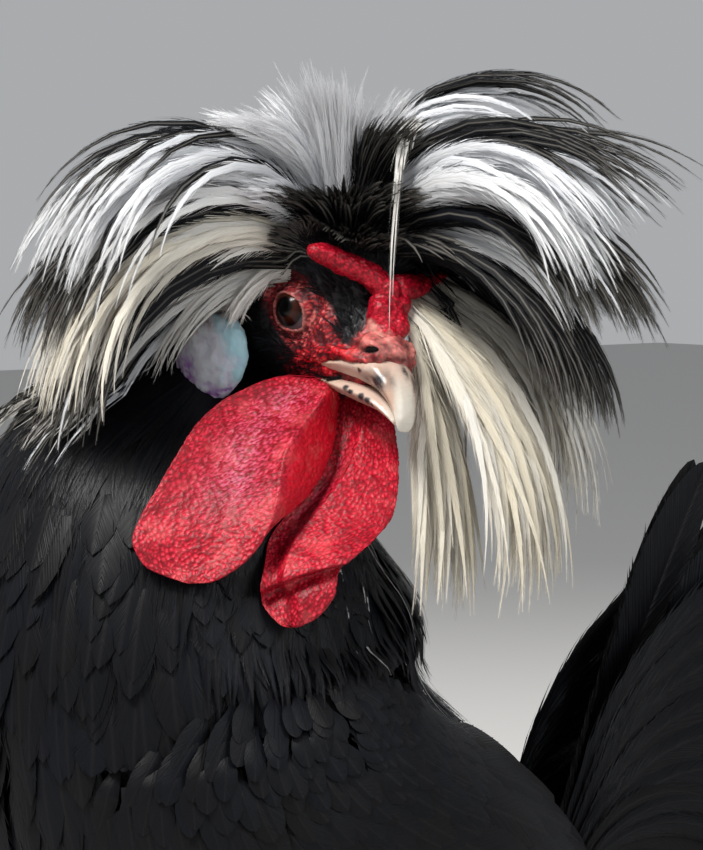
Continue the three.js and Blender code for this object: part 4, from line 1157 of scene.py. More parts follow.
# Wattles: broad leaves of skin that hang from the jaw, laid out in the frame of the crest's parting
wattles = {
    "right": {
        # left and right edge: across and up, how far out, where the crest of its fold is, its height and drop
        "rows": [
            (-14, -12, 0, -13, 12, 0.85, 1, 2), (-22, -14.5, 1, -18, 17, 0.82, 3.5, 7),
            (-31, -19, 0.5, -24.5, 22, 0.74, 4.5, 11),
            (-38, -25.5, -0.5, -31, 29, 0.68, 5, 13), (-43, -33.5, -3.5, -38, 35, 0.72, 4.5, 12),
            (-47.5, -41, -8.5, -44.5, 41, 0.82, 3.5, 8), (-52, -49, -16.5, -51, 45, 0.97, 2.5, 1.5),
            (-53.5, -54.5, -21, -57, 47.5, 1, 1.5, 0), (-50.5, -60.5, -26, -61.5, 49, 1, 1, 0),
            (-44.5, -63.5, -31.5, -64.5, 50, 1, 0.5, 0), (-39, -65.5, -36.5, -65.5, 50, 1, 0, 0),
        ],
        "ledge": None,
    },
    "left": {
        "rows": [
            (1, -18, 13, -18, 8, 0.6, 0, 2), (0, -24.5, 15.5, -23.5, 12, 0.5, 1, 3),
            (-1, -30.5, 17, -30, 16, 0.4, 2, 3),
            (-3, -37, 17.5, -37, 21, 0.32, 3, 3), (-8, -43.5, 17, -43.5, 26, 0.28, 3, 3),
            (-13.5, -49.5, 15.5, -49.5, 31, 0.25, 3, 3),
            (-17.5, -55, 10.5, -55, 36.5, 0.25, 2.5, 2), (-18.5, -60.5, 4, -60, 40, 0.25, 2, 1),
            (-19.5, -67, 1.2, -63, 43, 0.3, 1, 0),
            (-19, -72, 0, -69, 45, 0.5, 1, 0), (-15.5, -76, -4, -74.5, 46, 0.5, 0.5, 0),
            (-12.5, -77.8, -9, -77.4, 46, 0.5, 0, 0),
        ],
        "ledge": (8.1, 7.1, 4.2),  # row at the left and right edge, height
    },
    "thick": 2.6,
}


def makeWattle(side):
    values = wattles[side]
    rows = np.array(values["rows"], float)
    bm = bmesh.new()
    marks = {}

    def shapeAt(share, turn):
        at = share * (len(rows) - 1)
        row = along(rows, at)
        ends = np.sqrt(np.clip(1 - (1 - np.minimum(share, 1 - share) / 0.04).clip(0) ** 2, 0, 1))
        u = np.cos(np.radians(turn))
        a = 0.5 + 0.5 * u * (0.6 + 0.4 * ends)
        crest, high, drop = row[:, 5], row[:, 6], row[:, 7]
        before = a / crest
        after = np.clip((a - crest) / np.maximum(1.001 - crest, 0.03), 0, 1)
        dish = 1.6 + 0.35 * high
        hollow = dish * np.sin(np.pi * np.clip(before, 0, 1)) ** 0.8
        out = np.where(a < crest, high * smooth(0.62, 1, before) - hollow, high)
        out = out - drop * after**1.2
        out += 0.7 * np.sin(at * 1.9 + a * 5) * smooth(1, 3, at) * (1 - a) ** 2  # the rear edge waves
        if values["ledge"]:
            low, top, height = values["ledge"]
            fold = low + (top - low) * a
            rising = height * smooth(fold - 1.8, fold - 0.1, at) * (at < fold)
            falling = height * smooth(fold + 0.35, fold, at) * (at >= fold)
            out += rising + falling - 1.5 * np.exp(-(((at - fold - 0.6) / 0.4) ** 2))
        marks["slope"] = (after > 0) * smooth(0, 0.3, after) * smooth(2, 6, drop)
        marks["dish"] = np.exp(-(((before - 0.62) / 0.3) ** 2)) * smooth(2, 4, high)
        face = np.sin(np.radians(turn)) * (wattles["thick"] * 0.5 + 0.5 * np.abs(u) ** 5) * (0.2 + 0.8 * ends)
        slant = 1 + 0.8 * (after > 0) * np.minimum(drop / 12, 1)
        across = row[:, 0] + (row[:, 2] - row[:, 0]) * a
        up = row[:, 1] + (row[:, 3] - row[:, 1]) * a
        return np.stack([row[:, 4] + out + face * slant, across, up], -1)

    sphereBody(bm, 240, 180, shapeAt)
    bmesh.ops.recalc_face_normals(bm, faces=bm.faces)
    piece = meshObject(f"wattle{side.title()}", bm)
    _, rough, fold = fleshPiece(piece, fromHangings, 1.15, 0.26, 7, 0.2, (1, 1.1, 0.8))
    ridge = rough * 0.95 + fold * 0.2
    piece.data.attributes.remove(piece.data.attributes["ridge"])
    setMask(piece, "ridge", ridge + (0.62 - ridge) * 0.85 * marks["slope"])
    setMask(piece, "pale", 0.06 * smooth(0.15, 0.6, fold))
    setMask(piece, "red", 0.8 * marks["slope"])
    setMask(piece, "violet", 0.42 * marks["dish"] * smooth(0.3, 0.9, rough))
    setMask(piece, "dark", 0 * fold)
    return finish(piece, wattleLook, [f"wattle_{side}"])


for side in ("right", "left"):
    makeWattle(side)
print("comb and wattles made")

# Earlobes: smooth bluish skin, veined violet along the lower edge
earlobe = {"place": (-19.8, 23, -18.5), "size": (12.2, 5, 12.8), "turn": -16}


def makeEarlobe(side, node):
    bm = bmesh.new()
    ball(bm, (0, 0, 0), earlobe["size"], 72, 56)
    piece = meshObject(f"earlobe{node.title()}", bm)
    co = pointsOf(piece)
    fold = hills(co, 6.5, 4)
    vein = pebbles(co + hills(co, 3.0, 3)[:, None] * 1.5, 3.4)
    lower = smooth(-1.5, -9, co[:, 2] + co[:, 0] * 0.2 + fold * 5)
    dish = -0.8 * np.exp(-((co[:, 0] / 6) ** 2 + (co[:, 2] / 7) ** 2)) * (co[:, 1] * side > 0) * side
    moved = co + normalsOf(piece) * ((fold * 0.55 + (vein - 0.6) * 0.2 * (0.4 + lower))[:, None])
    moved[:, 1] += dish
    setMask(piece, "ridge", 0.5 + fold)
    ahead = smooth(5, 12, co[:, 0] * 1.1 + co[:, 2] * 0.7 + fold * 6)
    setMask(piece, "pale", 0.8 * ahead * smooth(0.8, 0.2, lower))
    setMask(piece, "violet", lower * (0.25 + 0.75 * smooth(0.6, 0.3, vein)) + 0.1 * smooth(0.3, 0.1, vein))
    blotch = smooth(0.02, 0.3, hills(co + 17, 2.4, 3)) * smooth(1, -5, co[:, 0] - co[:, 2] * 0.5 + 3)
    setMask(piece, "dark", 0.6 * blotch * smooth(-2, 5, co[:, 2]))
    setMask(piece, "red", 0 * lower)
    turned = moved @ spin(earlobe["turn"] * side, "Z").T
    setPoints(piece, toFrame(fromHead(turned + np.array(earlobe["place"]) * (1, side, 1))))
    return finish(piece, lobeLook, [f"earlobe_{node}"])


for side, node in sides:
    makeEarlobe(side, node)
print("earlobes made")

# Crest: two mops parted over the face. Each band of plumes launches from the knob of down at its own angle
# and falls to its end angle. The first number of a heading is the front one, over the eyes.
crest = {
    "knob": (22, 20, 23),
    "steps": 14,
    "left": [  # name, headings, launch, end, length, half width, many, tone, warmth, kind, tone of the tips
        ("wispBlack", (84, 92), 86, -50, 90, 2.0, 12, 0, 0, "plume", 0),
        ("wispWhite", (78, 86), 88, -56, 80, 1.8, 8, 1, 0, "plume", 1),
        ("topBlack", (66, 176), 63, -50, 88, 2.4, 74, 0, 0, "plume", 0),
        ("looseWhite", (52, 176), 56, -58, 84, 2.9, 180, 1, 0, "plume", 1),
        ("longBlack", (84, 150), 53, -44, 98, 2.4, 60, 0, 0, "plume", 0),
        ("mainWhite", (50, 176), 45, -68, 84, 3.2, 300, 1, 0.1, "plume", 1),
        ("shoulderBlack", (54, 176), 32, -70, 90, 2.8, 270, 0, 0, "plume", 0),
        ("smallWhite", (58, 100), 23, -62, 72, 2.2, 90, 1, 0.1, "plume", 1),
        ("sideBlack", (52, 176), 9, -84, 86, 2.8, 310, 0, 0, "plume", 0),
        ("lowBlack", (58, 150), -4, -86, 76, 2.6, 120, 0, 0, "plume", 0.7),
        ("creamOuter", (62, 132), -11, -93, 95, 3.1, 290, 1, 0.7, "plume", 1),
        ("creamDrape", (50, 88), -34, -95, 97, 3.1, 250, 1, 0.9, "plume", 1),
        ("creamFront", (44, 80), -66, -95, 92, 3.0, 170, 1, 0.85, "plume", 1),
        ("rootBlack", (56, 112), -22, -86, 36, 2.2, 90, 0, 0, "softPlume", 0),
    ],
    "right": [
        ("outerBlack", (306, 184), 63, -64, 95, 2.4, 76, 0, 0, "plume", 0),
        ("mainWhite", (306, 184), 55, -74, 97, 3.2, 310, 1, 0.05, "plume", 1),
        ("thinBlack", (296, 250), 47, -72, 80, 1.8, 34, 0, 0, "plume", 0),
        ("innerWhite", (302, 200), 44, -78, 90, 2.7, 90, 1, 0.25, "plume", 1),
        ("stripBlack", (298, 184), 35, -78, 100, 2.6, 290, 0, 0, "plume", 0),
        ("cream", (302, 184), 22, -82, 99, 2.9, 290, 1, 0.75, "plume", 1),
        ("midBlack", (296, 184), 10, -82, 95, 2.8, 260, 0, 0, "plume", 0),
        ("lowWhite", (286, 210), 1, -80, 94, 1.6, 60, 1, 0.4, "plume", 1),
        ("underBlack", (276, 184), -5, -82, 88, 2.8, 190, 0, 0, "plume", 0),
        ("earWhite", (288, 258), -3, -72, 52, 1.2, 60, 1, 0.45, "plume", 1),
    ],
    "brow": [  # short ones over the face and on the crown
        ("crownWhite", (-108, -34), 70, 8, 44, 2.4, 210, 1, 0.02, "softPlume", 1),
        ("crownMiddle", (-40, 4), 78, 48, 43, 1.8, 130, 1, 0.02, "softPlume", 1),
        ("crownSpikes", (-100, 70), 82, 36, 38, 2.0, 120, 1, 0.02, "softPlume", 1),
        ("crownBlack", (14, 54), 72, 26, 34, 2.2, 110, 0, 0, "softPlume", 0),
        ("browBlack", (-64, 60), 46, 8, 22, 2.6, 270, 0, 0, "softPlume", 0),
        ("foreBlack", (-74, 58), 20, 10, 12, 2.2, 300, 0, 0, "softPlume", 0),
        ("sideFluffLeft", (34, 84), 16, -40, 30, 3.0, 170, 0, 0, "softPlume", 0),
        ("sideWhiteLeft", (48, 62), 2, -40, 24, 2.2, 26, 1, 0.1, "softPlume", 1),
        ("whitePuff", (-90, -46), 46, 2, 28, 3.0, 220, 1, 0.0, "softPlume", 1),
        ("creamPuff", (-100, -64), 20, -40, 30, 2.4, 170, 1, 0.5, "softPlume", 1),
        ("earPuff", (-106, -70), -8, -70, 26, 1.3, 170, 1, 0.5, "softPlume", 1),
        ("backWhite", (84, 276), 72, -6, 50, 3.0, 130, 1, 0.05, "softPlume", 1),
        ("backBlack", (84, 276), 60, -20, 50, 2.8, 130, 0, 0, "softPlume", 0),
    ],
}
forelock = {  # one lock that rises over the brow and falls past the comb, in the hangings' layout
    "line": [
        (0, 15.8, 38.5), (3, 18, 49.6), (8, 20.1, 57.2), (14, 19.4, 55.5), (20, 18, 49.4), (25, 16.9, 41.3),
        (28, 16, 31.9), (30, 15.2, 21.2), (31, 14.9, 11.3), (31, 14.7, 1.1),
    ],
    "plumes": [  # half width, how far aside, share of the line
        (1.5, 0, 1), (1.3, 0.8, 0.9), (3.2, -0.6, 0.62), (3.4, 1.4, 0.52), (2.8, 3.0, 0.44),
    ],
}

headBlocks = [  # balls along lines that the plumes go round, in the head's frame
    ((-26, 0, 0), (8, 0, 2), 20.5), ((8, 0, -2), (43, 0, -13), 11), ((22, 0, 15), (8, -26, 22), 6.5),
    ((22, 0, 15), (6, 28, 23), 6.5), ((-19.5, 23, -18.5), (-19.5, 23, -18.5), 13.5),
    ((-19.5, -23, -18.5), (-19.5, -23, -18.5), 13.5),
]
bodyRings = np.linspace(0, stations, 89)
ringFrames = bodyFrame(bodyRings)
ringGirths = along(girth, bodyRings)


# How far points lie off the plumage, and the way out from there
def offBody(p):
    flat = p.reshape(-1, 3)
    best = np.full(len(flat), 1e9)
    outward = np.tile([0.0, 0, 1], (len(flat), 1))
    for centre, ahead, side, back, g in zip(*ringFrames, ringGirths):
        d = flat - centre
        near = np.abs(d @ ahead) < 5
        x, y = d[near] @ side, d[near] @ back
        deep = np.where(y > 0, g[1], g[2])
        share = np.sqrt((x / g[0]) ** 2 + (y / deep) ** 2)
        lift = (share - 1) * np.hypot(x, y) / np.maximum(share, 0.01)
        out = unit(side * (x / g[0] ** 2)[:, None] + back * (y / deep**2)[:, None])
        where = np.flatnonzero(near)
        better = lift < best[where]
        best[where[better]] = lift[better]
        outward[where[better]] = out[better]
    return best.reshape(p.shape[:-1]), outward.reshape(p.shape)


def keepClear(p, margin, bodyMargin):
    p = p.copy()
    for a, b, radius in headBlocks:
        a, b = fromHead(a), fromHead(b)
        line = b - a
        t = np.clip(((p - a) @ line) / max(line @ line, 1e-9), 0, 1)
        away = p - (a + t[..., None] * line)
        far = np.linalg.norm(away, axis=-1)
        short = np.maximum(radius + margin - far, 0)
        p += away / np.maximum(far, 1e-6)[..., None] * short[..., None]
    lift, out = offBody(p)
    return p + out * np.maximum(bodyMargin - lift, 0)[..., None]


def crestPaths(headings, launch, end, long, root, draw, steps):
    many = len(headings)
    out = np.stack([np.cos(np.radians(headings)), np.sin(np.radians(headings)), np.zeros(many)], -1)
    sideways = np.stack([-out[:, 1], out[:, 0], np.zeros(many)], -1)
    rise, run = np.sin(np.radians(root)), np.cos(np.radians(root))
    knob = np.array(crest["knob"])
    start = np.stack([knob[0] * run * out[:, 0], knob[1] * run * out[:, 1], knob[2] * rise], -1) * 0.8
    t = (np.arange(steps) + 0.5) / steps
    slope = np.radians(launch[:, None] + (end - launch)[:, None] * t[None])
    stride = (long / steps)[:, None, None]
    drift = np.radians(draw.normal(0, 7, many))[:, None]
    drift = drift * np.sin(t * np.pi * draw.uniform(0.4, 1.1, many)[:, None])
    move = out[:, None] * np.cos(slope)[..., None] + np.array([0, 0, 1.0]) * np.sin(slope)[..., None]
    move = unit(move + sideways[:, None] * drift[..., None]) * stride
    path = start[:, None] + np.concatenate([np.zeros((many, 1, 3)), np.cumsum(move, 1)], 1)
    slopes = np.radians(launch[:, None] + (end - launch)[:, None] * np.linspace(0, 1, steps + 1)[None])
    facing = np.abs((headings + 180) % 360 - 180) / 90
    turned = 0.95 * np.clip((1.35 - facing) / 0.6, 0, 1)[:, None, None]
    faces = out[:, None] * (-np.sin(slopes))[..., None] + np.array([0, 0, 1.0]) * np.cos(slopes)[..., None]
    faces = faces * (1 - turned) + np.array([1.0, 0, 0]) * turned
    return path, faces


def crestBand(values, seed, frontShare=1.35):
    _, (front, rear), launch, end, long, half, many, tone, warm, kind, tipTone = values
    draw = np.random.default_rng(seed)
    share = (np.arange(many) + draw.uniform(0, 1, many)) / many
    headings = front + (rear - front) * share**frontShare
    lock = (share * max(many / 6, 1)).astype(int)  # plumes hang together in locks
    drift = 0.7 * draw.normal(0, 1, lock.max() + 1)[lock] + 0.6 * draw.normal(0, 1, many)
    headings = headings + 1.5 * draw.normal(0, 1, lock.max() + 1)[lock]
    launches = launch + drift * 2.6
    ends = end + draw.normal(0, 3, lock.max() + 1)[lock] + draw.normal(0, 2.5, many)
    longs = long * draw.uniform(0.88, 1.04, lock.max() + 1)[lock] * draw.uniform(0.86, 1.02, many)
    roots = np.clip(launches * 0.78 + 5, -14, 78) + draw.normal(0, 4, many)
    path, faces = crestPaths(headings, launches, ends, longs, roots, draw, crest["steps"])
    path = fromCrest(path)
    eased = np.linspace(0, 1, path.shape[1])[None, :, None]
    path = path + (keepClear(path, 2.5, 5.5) - path) * smooth(0.0, 0.25, eased)
    faces = faces @ hangTurn.T
    tones = np.where(draw.uniform(0, 1, many) < (0.04 if kind == "plume" else 0), 1 - tone, tone)
    tips = np.where(draw.uniform(0, 1, many) < 0.3, tipTone, tones)
    bake = np.stack([(headings % 360) / 360 * 0.9 + 0.05, (launches + 90) / 180 * 0.9 + 0.05], -1)
    band = {"paths": path, "faces": faces, "half": half * draw.uniform(0.75, 1.15, many), "tone": tones,
            "warm": np.full(many, warm) * draw.uniform(0.7, 1.2, many), "roots": bake, "tipTone": tips}
    shown = ~hidesComb(path)
    return {key: value[shown] for key, value in band.items()}


# Whether plumes hang over the comb
def hidesComb(paths):
    seen = (paths - headPlace) @ hangTurn
    hides = np.zeros(len(paths), bool)
    for label in ("stem", "left", "right"):
        line = comb[label][0]
        for place in (along(fromHead(line), np.linspace(0, len(line) - 1, 16)) - headPlace) @ hangTurn:
            off = seen - place
            hides |= ((np.hypot(off[..., 1], off[..., 2]) < 4.4) & (off[..., 0] > -1)).any(1)
    return hides


def joinBands(bands):
    keys = ("paths", "faces", "half", "tone", "warm", "roots", "tipTone")
    return {key: np.concatenate([band[key] for band in bands]) for key in keys}


crestPieces = []
for side, node in (("left", "crest_left"), ("right", "crest_right")):
    bands = [crestBand(values, 100 + k + 40 * (side == "left")) for k, values in enumerate(crest[side])]
    third = len(bands) // 3 + 1
    for label, share in (("Upper", bands[:third]), ("Middle", bands[third:-third]),
                         ("Lower", bands[-third:])):
        plumes = joinBands(share)
        piece = growFeathers(f"crest{side.title()}{label}", "plume", seed=3 + len(crestPieces), **plumes)
        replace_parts(piece, node)
        crestPieces.append(piece)
short = [crestBand(values, 300 + k, 1) for k, values in enumerate(crest["brow"])]
for name, bands in (("crestCrown", short[:5]), ("crestBrow", short[5:9]), ("crestPuffs", short[9:])):
    piece = growFeathers(name, "softPlume", look=litDownLook, seed=9 + len(crestPieces), **joinBands(bands))
    crestPieces.append(piece)


def growForelock(values):
    line = np.array(values["line"], float)
    half, aside, share = np.array(values["plumes"]).T
    t = np.linspace(0, 1, crest["steps"] + 1)
    paths = np.array([along(line, t * long * (len(line) - 1)) for long in share])
    paths[..., 1] += aside[:, None] * smooth(0.1, 0.8, t)
    faces = np.broadcast_to(hangTurn @ np.array([1.0, 0, 0]), paths.shape)
    roots = np.stack([0.4 + 0.05 * np.arange(len(half)), np.full(len(half), 0.97)], -1)
    return growFeathers("forelock", "softPlume", fromHangings(paths), faces, half, 1, 0.4, roots, seed=29)


crestPieces.append(growForelock(forelock))
print("crest made")

# Small feathers and hairs of the face grow on the skin itself
faceTufts = {
    "velvet": {"many": 1200, "long": 5.2, "half": 1.0, "lean": 32, "kind": "fluff", "tone": 0},
    "band": {"many": 1500, "long": 3.6, "half": 0.1, "lean": 22, "kind": "strand", "tone": 0},
    "patch": {"many": 420, "long": 1.8, "half": 0.06, "lean": 30, "kind": "strand", "tone": 0.1},
    "tuft": {"many": 30, "long": 3.0, "half": 0.4, "lean": 40, "kind": "fluff", "tone": 0.08},
    "tuftPlace": (19.5, 6.5, 4.5),
}


def growOnHead(name, values, weight, flow, seed):
    co, normals = bird["headSkin"][:2]
    draw = np.random.default_rng(seed)
    many = values["many"]
    pick = draw.choice(len(co), many, p=weight / weight.sum())
    p, n = co[pick], unit(normals[pick])
    ahead = unit(flow(p) + draw.normal(0, 0.25, (many, 3)))
    ahead = unit(ahead - (ahead * n).sum(1)[:, None] * n)
    t = (np.arange(6) + 0.5) / 6
    lean = np.radians(values["lean"] * draw.uniform(0.6, 1.4, many))[:, None] * (1 - 0.75 * t[None])
    long = values["long"] * draw.uniform(0.65, 1.25, many)
    move = ahead[:, None] * np.cos(lean)[..., None] + n[:, None] * np.sin(lean)[..., None]
    move = move * (long / 6)[:, None, None]
    path = p[:, None] - n[:, None] * 0.4 + np.concatenate([np.zeros((many, 1, 3)), np.cumsum(move, 1)], 1)
    faces = np.broadcast_to(n[:, None], path.shape)
    roots = np.stack([np.arctan2(p[:, 1], p[:, 2]) / 6.6 + 0.5, (p[:, 0] + 40) / 90], -1)
    half = values["half"] * draw.uniform(0.8, 1.2, many)
    piece = growFeathers(name, values["kind"], fromHead(path), faces @ headTurn.T, half, values["tone"], 0.2,
                         roots, look=bodyLook, seed=seed, variants=3)
    return piece


blackShaft = {"shaftShade": 0.4, "shaftColour": (0.012, 0.011, 0.012, 1)}
bodyLook = featherMaterial("bodyFeather", {
    **plumageColours, **blackShaft, "lines": 45.0, "slant": 0.8, "rough": 0.42, "patchScale": 40.0, "bump": 0.3})
co, _, bare, patch, rim = bird["headSkin"]
x, y, z = co.T
velvet = (1 - bare) * smooth(-22, -16, x) * smooth(-12, -9, z) * smooth(28, 22, z)
growOnHead("faceVelvet", faceTufts["velvet"], velvet + 1e-9, lambda p: np.stack(
    [-0.6 + 0 * p[:, 0], np.sign(p[:, 1]) * 0.4, 0.8 * smooth(-2, 4, p[:, 2]) - 0.3], -1), 81)
band = smooth(-13, -8, x) * smooth(14, 9, x) * smooth(-14, -11, z)
band = band * smooth(0, -4, z + 0.1 * x) * (1 - 0.75 * patch)
growOnHead("faceHairs", faceTufts["band"], band + 1e-9, lambda p: np.array([-1.0, 0, -0.25]) + 0 * p, 82)
growOnHead("lidHairs", faceTufts["patch"], patch * (rim > 0.8) + 1e-9,
           lambda p: np.array([-1.0, 0, 0.1]) + 0 * p, 83)
tuft = np.exp(-(((co - np.array(faceTufts["tuftPlace"]) * (1, -1, 1)) / 1.8) ** 2).sum(1))
growOnHead("stemTuft", faceTufts["tuft"], tuft + 1e-9, lambda p: np.array([-0.3, 0.2, 1.0]) + 0 * p, 84)
print("face made")

# Plumage of the body. Feathers lie along the body from head to rump, their roots under the row before
quillLook = featherMaterial("quillFeather", {**plumageColours, **blackShaft, "lines": 150.0, "slant": 0.35,
                                             "lineShade": 0.5, "rough": 0.34, "bump": 0.6})


def rising(t, root, out, tip):
    return np.where(t < 0.34, root + (out - root) * t / 0.34, out + (tip - out) * (t - 0.34) / 0.66)


def bodyPaths(s0, turn0, s1, turn1, liftAt, steps=8, bow=0.0):
    t = np.linspace(0, 1, steps + 1)[None]
    s = s0[:, None] + (s1 - s0)[:, None] * t
    turn = turn0[:, None] + (turn1 - turn0)[:, None] * t + np.reshape(bow, (-1, 1)) * t * (1 - t)
    return bodyPoint(s, turn, liftAt(t, s, turn))


def ringLength(s):
    g = along(girth, np.array([s]))[0]
    return math.pi * (g[0] + (g[1] + g[2]) / 2)


wing = {
    "pad": [  # station, both edges in degrees, thickness
        (4.0, -28, 4, 2), (4.4, -54, 20, 7), (5.2, -60, 34, 9), (6.3, -50, 42, 9.5), (7.4, -32, 46, 8),
        (8.5, -8, 47, 6), (9.5, 18, 41, 2),
    ],
    "foot": 1.1,
}


def padAt(s):
    pad = np.array(wing["pad"], float).T
    return [np.interp(s, pad[0], row) for row in pad[1:]]


def padTop(s, turn):
    low, high, thick = padAt(s)
    u = np.clip((turn - low) / (high - low), 0, 1)
    return wing["foot"] + thick * np.sqrt(np.clip(1 - (2 * u - 1) ** 2, 0, 1)) * (s < 9.6)


# Degrees from the left or the right wing's middle, whichever is nearer
def wingTurn(turn):
    turn = (turn + 90) % 360 - 90
    return np.where(turn > 90, 180 - turn, turn)


def scatter(stationList, spacing, draw):
    s, turn = [], []
    for k, station in enumerate(stationList):
        many = max(int(ringLength(station) / spacing), 6)
        turns = (np.arange(many) + (0.5 if k % 2 else 0)) * 360 / many + draw.normal(0, 70 / many, many)
        s.append(station + draw.normal(0, 0.04, many))
        turn.append(turns % 360)
    return np.concatenate(s), np.concatenate(turn)


def rootsOn(s, turn):
    return np.stack([s / stations * 0.9 + 0.05, (turn % 360) / 360 * 0.9 + 0.05], -1)


coat = {
    "front": {"rows": (2.0, 5.6, 0.2), "spacing": 8.2, "long": 1.0, "half": 6.4, "lifts": (-5, 0.3, 2.6)},
    "rear": {"rows": (5.6, 10.7, 0.2), "spacing": 8.2, "long": 1.05, "half": 6.6, "lifts": (-5, 0.3, 2.6)},
}


def growCoat(name, values, seed):
    draw = np.random.default_rng(seed)
    s, turn = scatter(np.arange(*values["rows"]), values["spacing"], draw)
    low, high, _ = padAt(s)
    flank = wingTurn(turn)
    under = (s > 4.3) & (s < 9.3) & (flank > low + 7) & (flank < high - 7)
    s, turn, flank = s[~under], turn[~under], flank[~under]
    many = len(s)
    root, out, tip = values["lifts"]
    lift = draw.normal(0, 0.35, many)[:, None]
    to = np.minimum(s + values["long"] * draw.uniform(0.85, 1.15, many), 11.2)
    atWing = (s < 4.35) & (flank > -58) & (flank < 36)
    to = np.where(atWing, np.minimum(to, 4.3), to)  # none lies over the wing's shoulder
    s = np.minimum(s, to - 0.3)
    turnTo = turn + draw.normal(0, 3, many)
    paths, faces = bodyPaths(s, turn, to, turnTo, lambda t, *_: rising(t, root, out, tip) + lift * t)
    half = values["half"] * draw.uniform(0.85, 1.1, many)
    return growFeathers(name, "body", paths, faces, half, 0, 0, rootsOn(s, turn), look=bodyLook, seed=seed)


for k, (part, values) in enumerate(coat.items()):
    piece = growCoat(f"coat{part.title()}", values, 500 + k)
print("coat made")

hackle = {
    # from, to at the side, the back and the front, lifts, half width, many, share of streaked ones
    "tiers": [
        (2.9, 5.3, 7.5, 4.6, (-4, 5, 4.5), 4.2, 220, 0.35), (2.2, 4.5, 6.4, 4.0, (-4, 6, 7), 4.2, 250, 0.35),
        (1.6, 3.6, 4.9, 3.5, (-4, 6, 7.5), 4.0, 230, 0.35), (1.0, 2.9, 4.0, 2.8, (-4, 5, 7), 3.8, 190, 0.3),
        (0.5, 2.2, 2.9, 2.1, (-4, 4.5, 6.6), 3.6, 140, 0.2),
    ],
}


# Feathers behind the wattles lie flat
def settled(paths):
    seen = (paths - headPlace) @ hangTurn
    lift, out = offBody(paths)
    near = smooth(-38, -28, seen[..., 1]) * smooth(22, 14, seen[..., 1]) * smooth(-92, -84, seen[..., 2])
    near = near * smooth(-8, -14, seen[..., 2]) * (seen[..., 0] > 0)
    return paths - out * (near * np.maximum(lift - 0.7, 0))[..., None]


def growHackle(values):
    bands = []
    for k, (start, side, back, front, lifts, half, many, streaked) in enumerate(values["tiers"]):
        draw = np.random.default_rng(700 + k)
        turn = (np.arange(many) + draw.uniform(0, 1, many)) * 360 / many
        behind = np.sin(np.radians(turn))
        to = side + (np.where(behind > 0, back, front) - side) * behind**2 + draw.uniform(-0.35, 0.25, many)
        s = start + draw.uniform(-0.3, 0.3, many)
        flank = wingTurn(turn)
        overWing = smooth(-66, -54, flank) * smooth(44, 34, flank)
        to = to + (np.minimum(to, 4.1 + draw.normal(0, 0.15, many)) - to) * overWing
        lift = draw.normal(0, 0.7, many)[:, None]
        # they lie closer on the breast, under the wattles
        flat = (1 - 0.85 * smooth(0.0, 0.7, -behind))[:, None]
        paths, faces = bodyPaths(s, turn, to, turn + draw.normal(0, 4, many), lambda t, *_: rising(
            t, *lifts) * flat + lift * t * flat, 12, draw.normal(0, 5, many))
        share = 0.7 * streaked * np.exp(-(((turn - 50) / 36) ** 2))
        light = draw.uniform(0, 1, many) < share  # thin white ones
        paths = settled(paths + (1.2 * light)[:, None, None] * faces)
        halves = half * draw.uniform(0.8, 1.15, many) * np.where(light, 0.17, 1)
        bands.append({"paths": paths, "faces": faces, "half": halves, "tone": 0.5 * light,
                      "warm": np.full(many, 0.25), "roots": rootsOn(s, turn), "tipTone": 0.6 * light})
    return growFeathers("hackle", "hackle", look=hackleLook, seed=21, **joinBands(bands))


hackleLook = featherMaterial("hackleFeather",
                             {**plumageColours, **blackShaft, "lines": 80.0, "lineShade": 0.5,
                                               "rough": 0.34, "bump": 0.25})
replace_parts(growHackle(hackle), "neck")
print("hackle made")

# Wings: scale-like feathers on the bow, coverts, then the quills
wing["tiers"] = [  # kind, stations from and to, step, how far back, lifts, half width, gap between roots
    ("quill", 7.6, 7.9, 0.4, 2.05, (-3, 1.2, 2.2), 7.0, 10),
    ("quill", 6.5, 6.9, 0.5, 2.3, (-3, 2.2, 3.2), 8.2, 12),
    ("scale", 5.9, 6.7, 0.36, 1.4, (-3.2, 2.2, 4.2), 8.6, 13),
    ("scale", 3.95, 6.0, 0.11, 0.85, (-1.6, 1.2, 2.3), 5.8, 8.6),
]


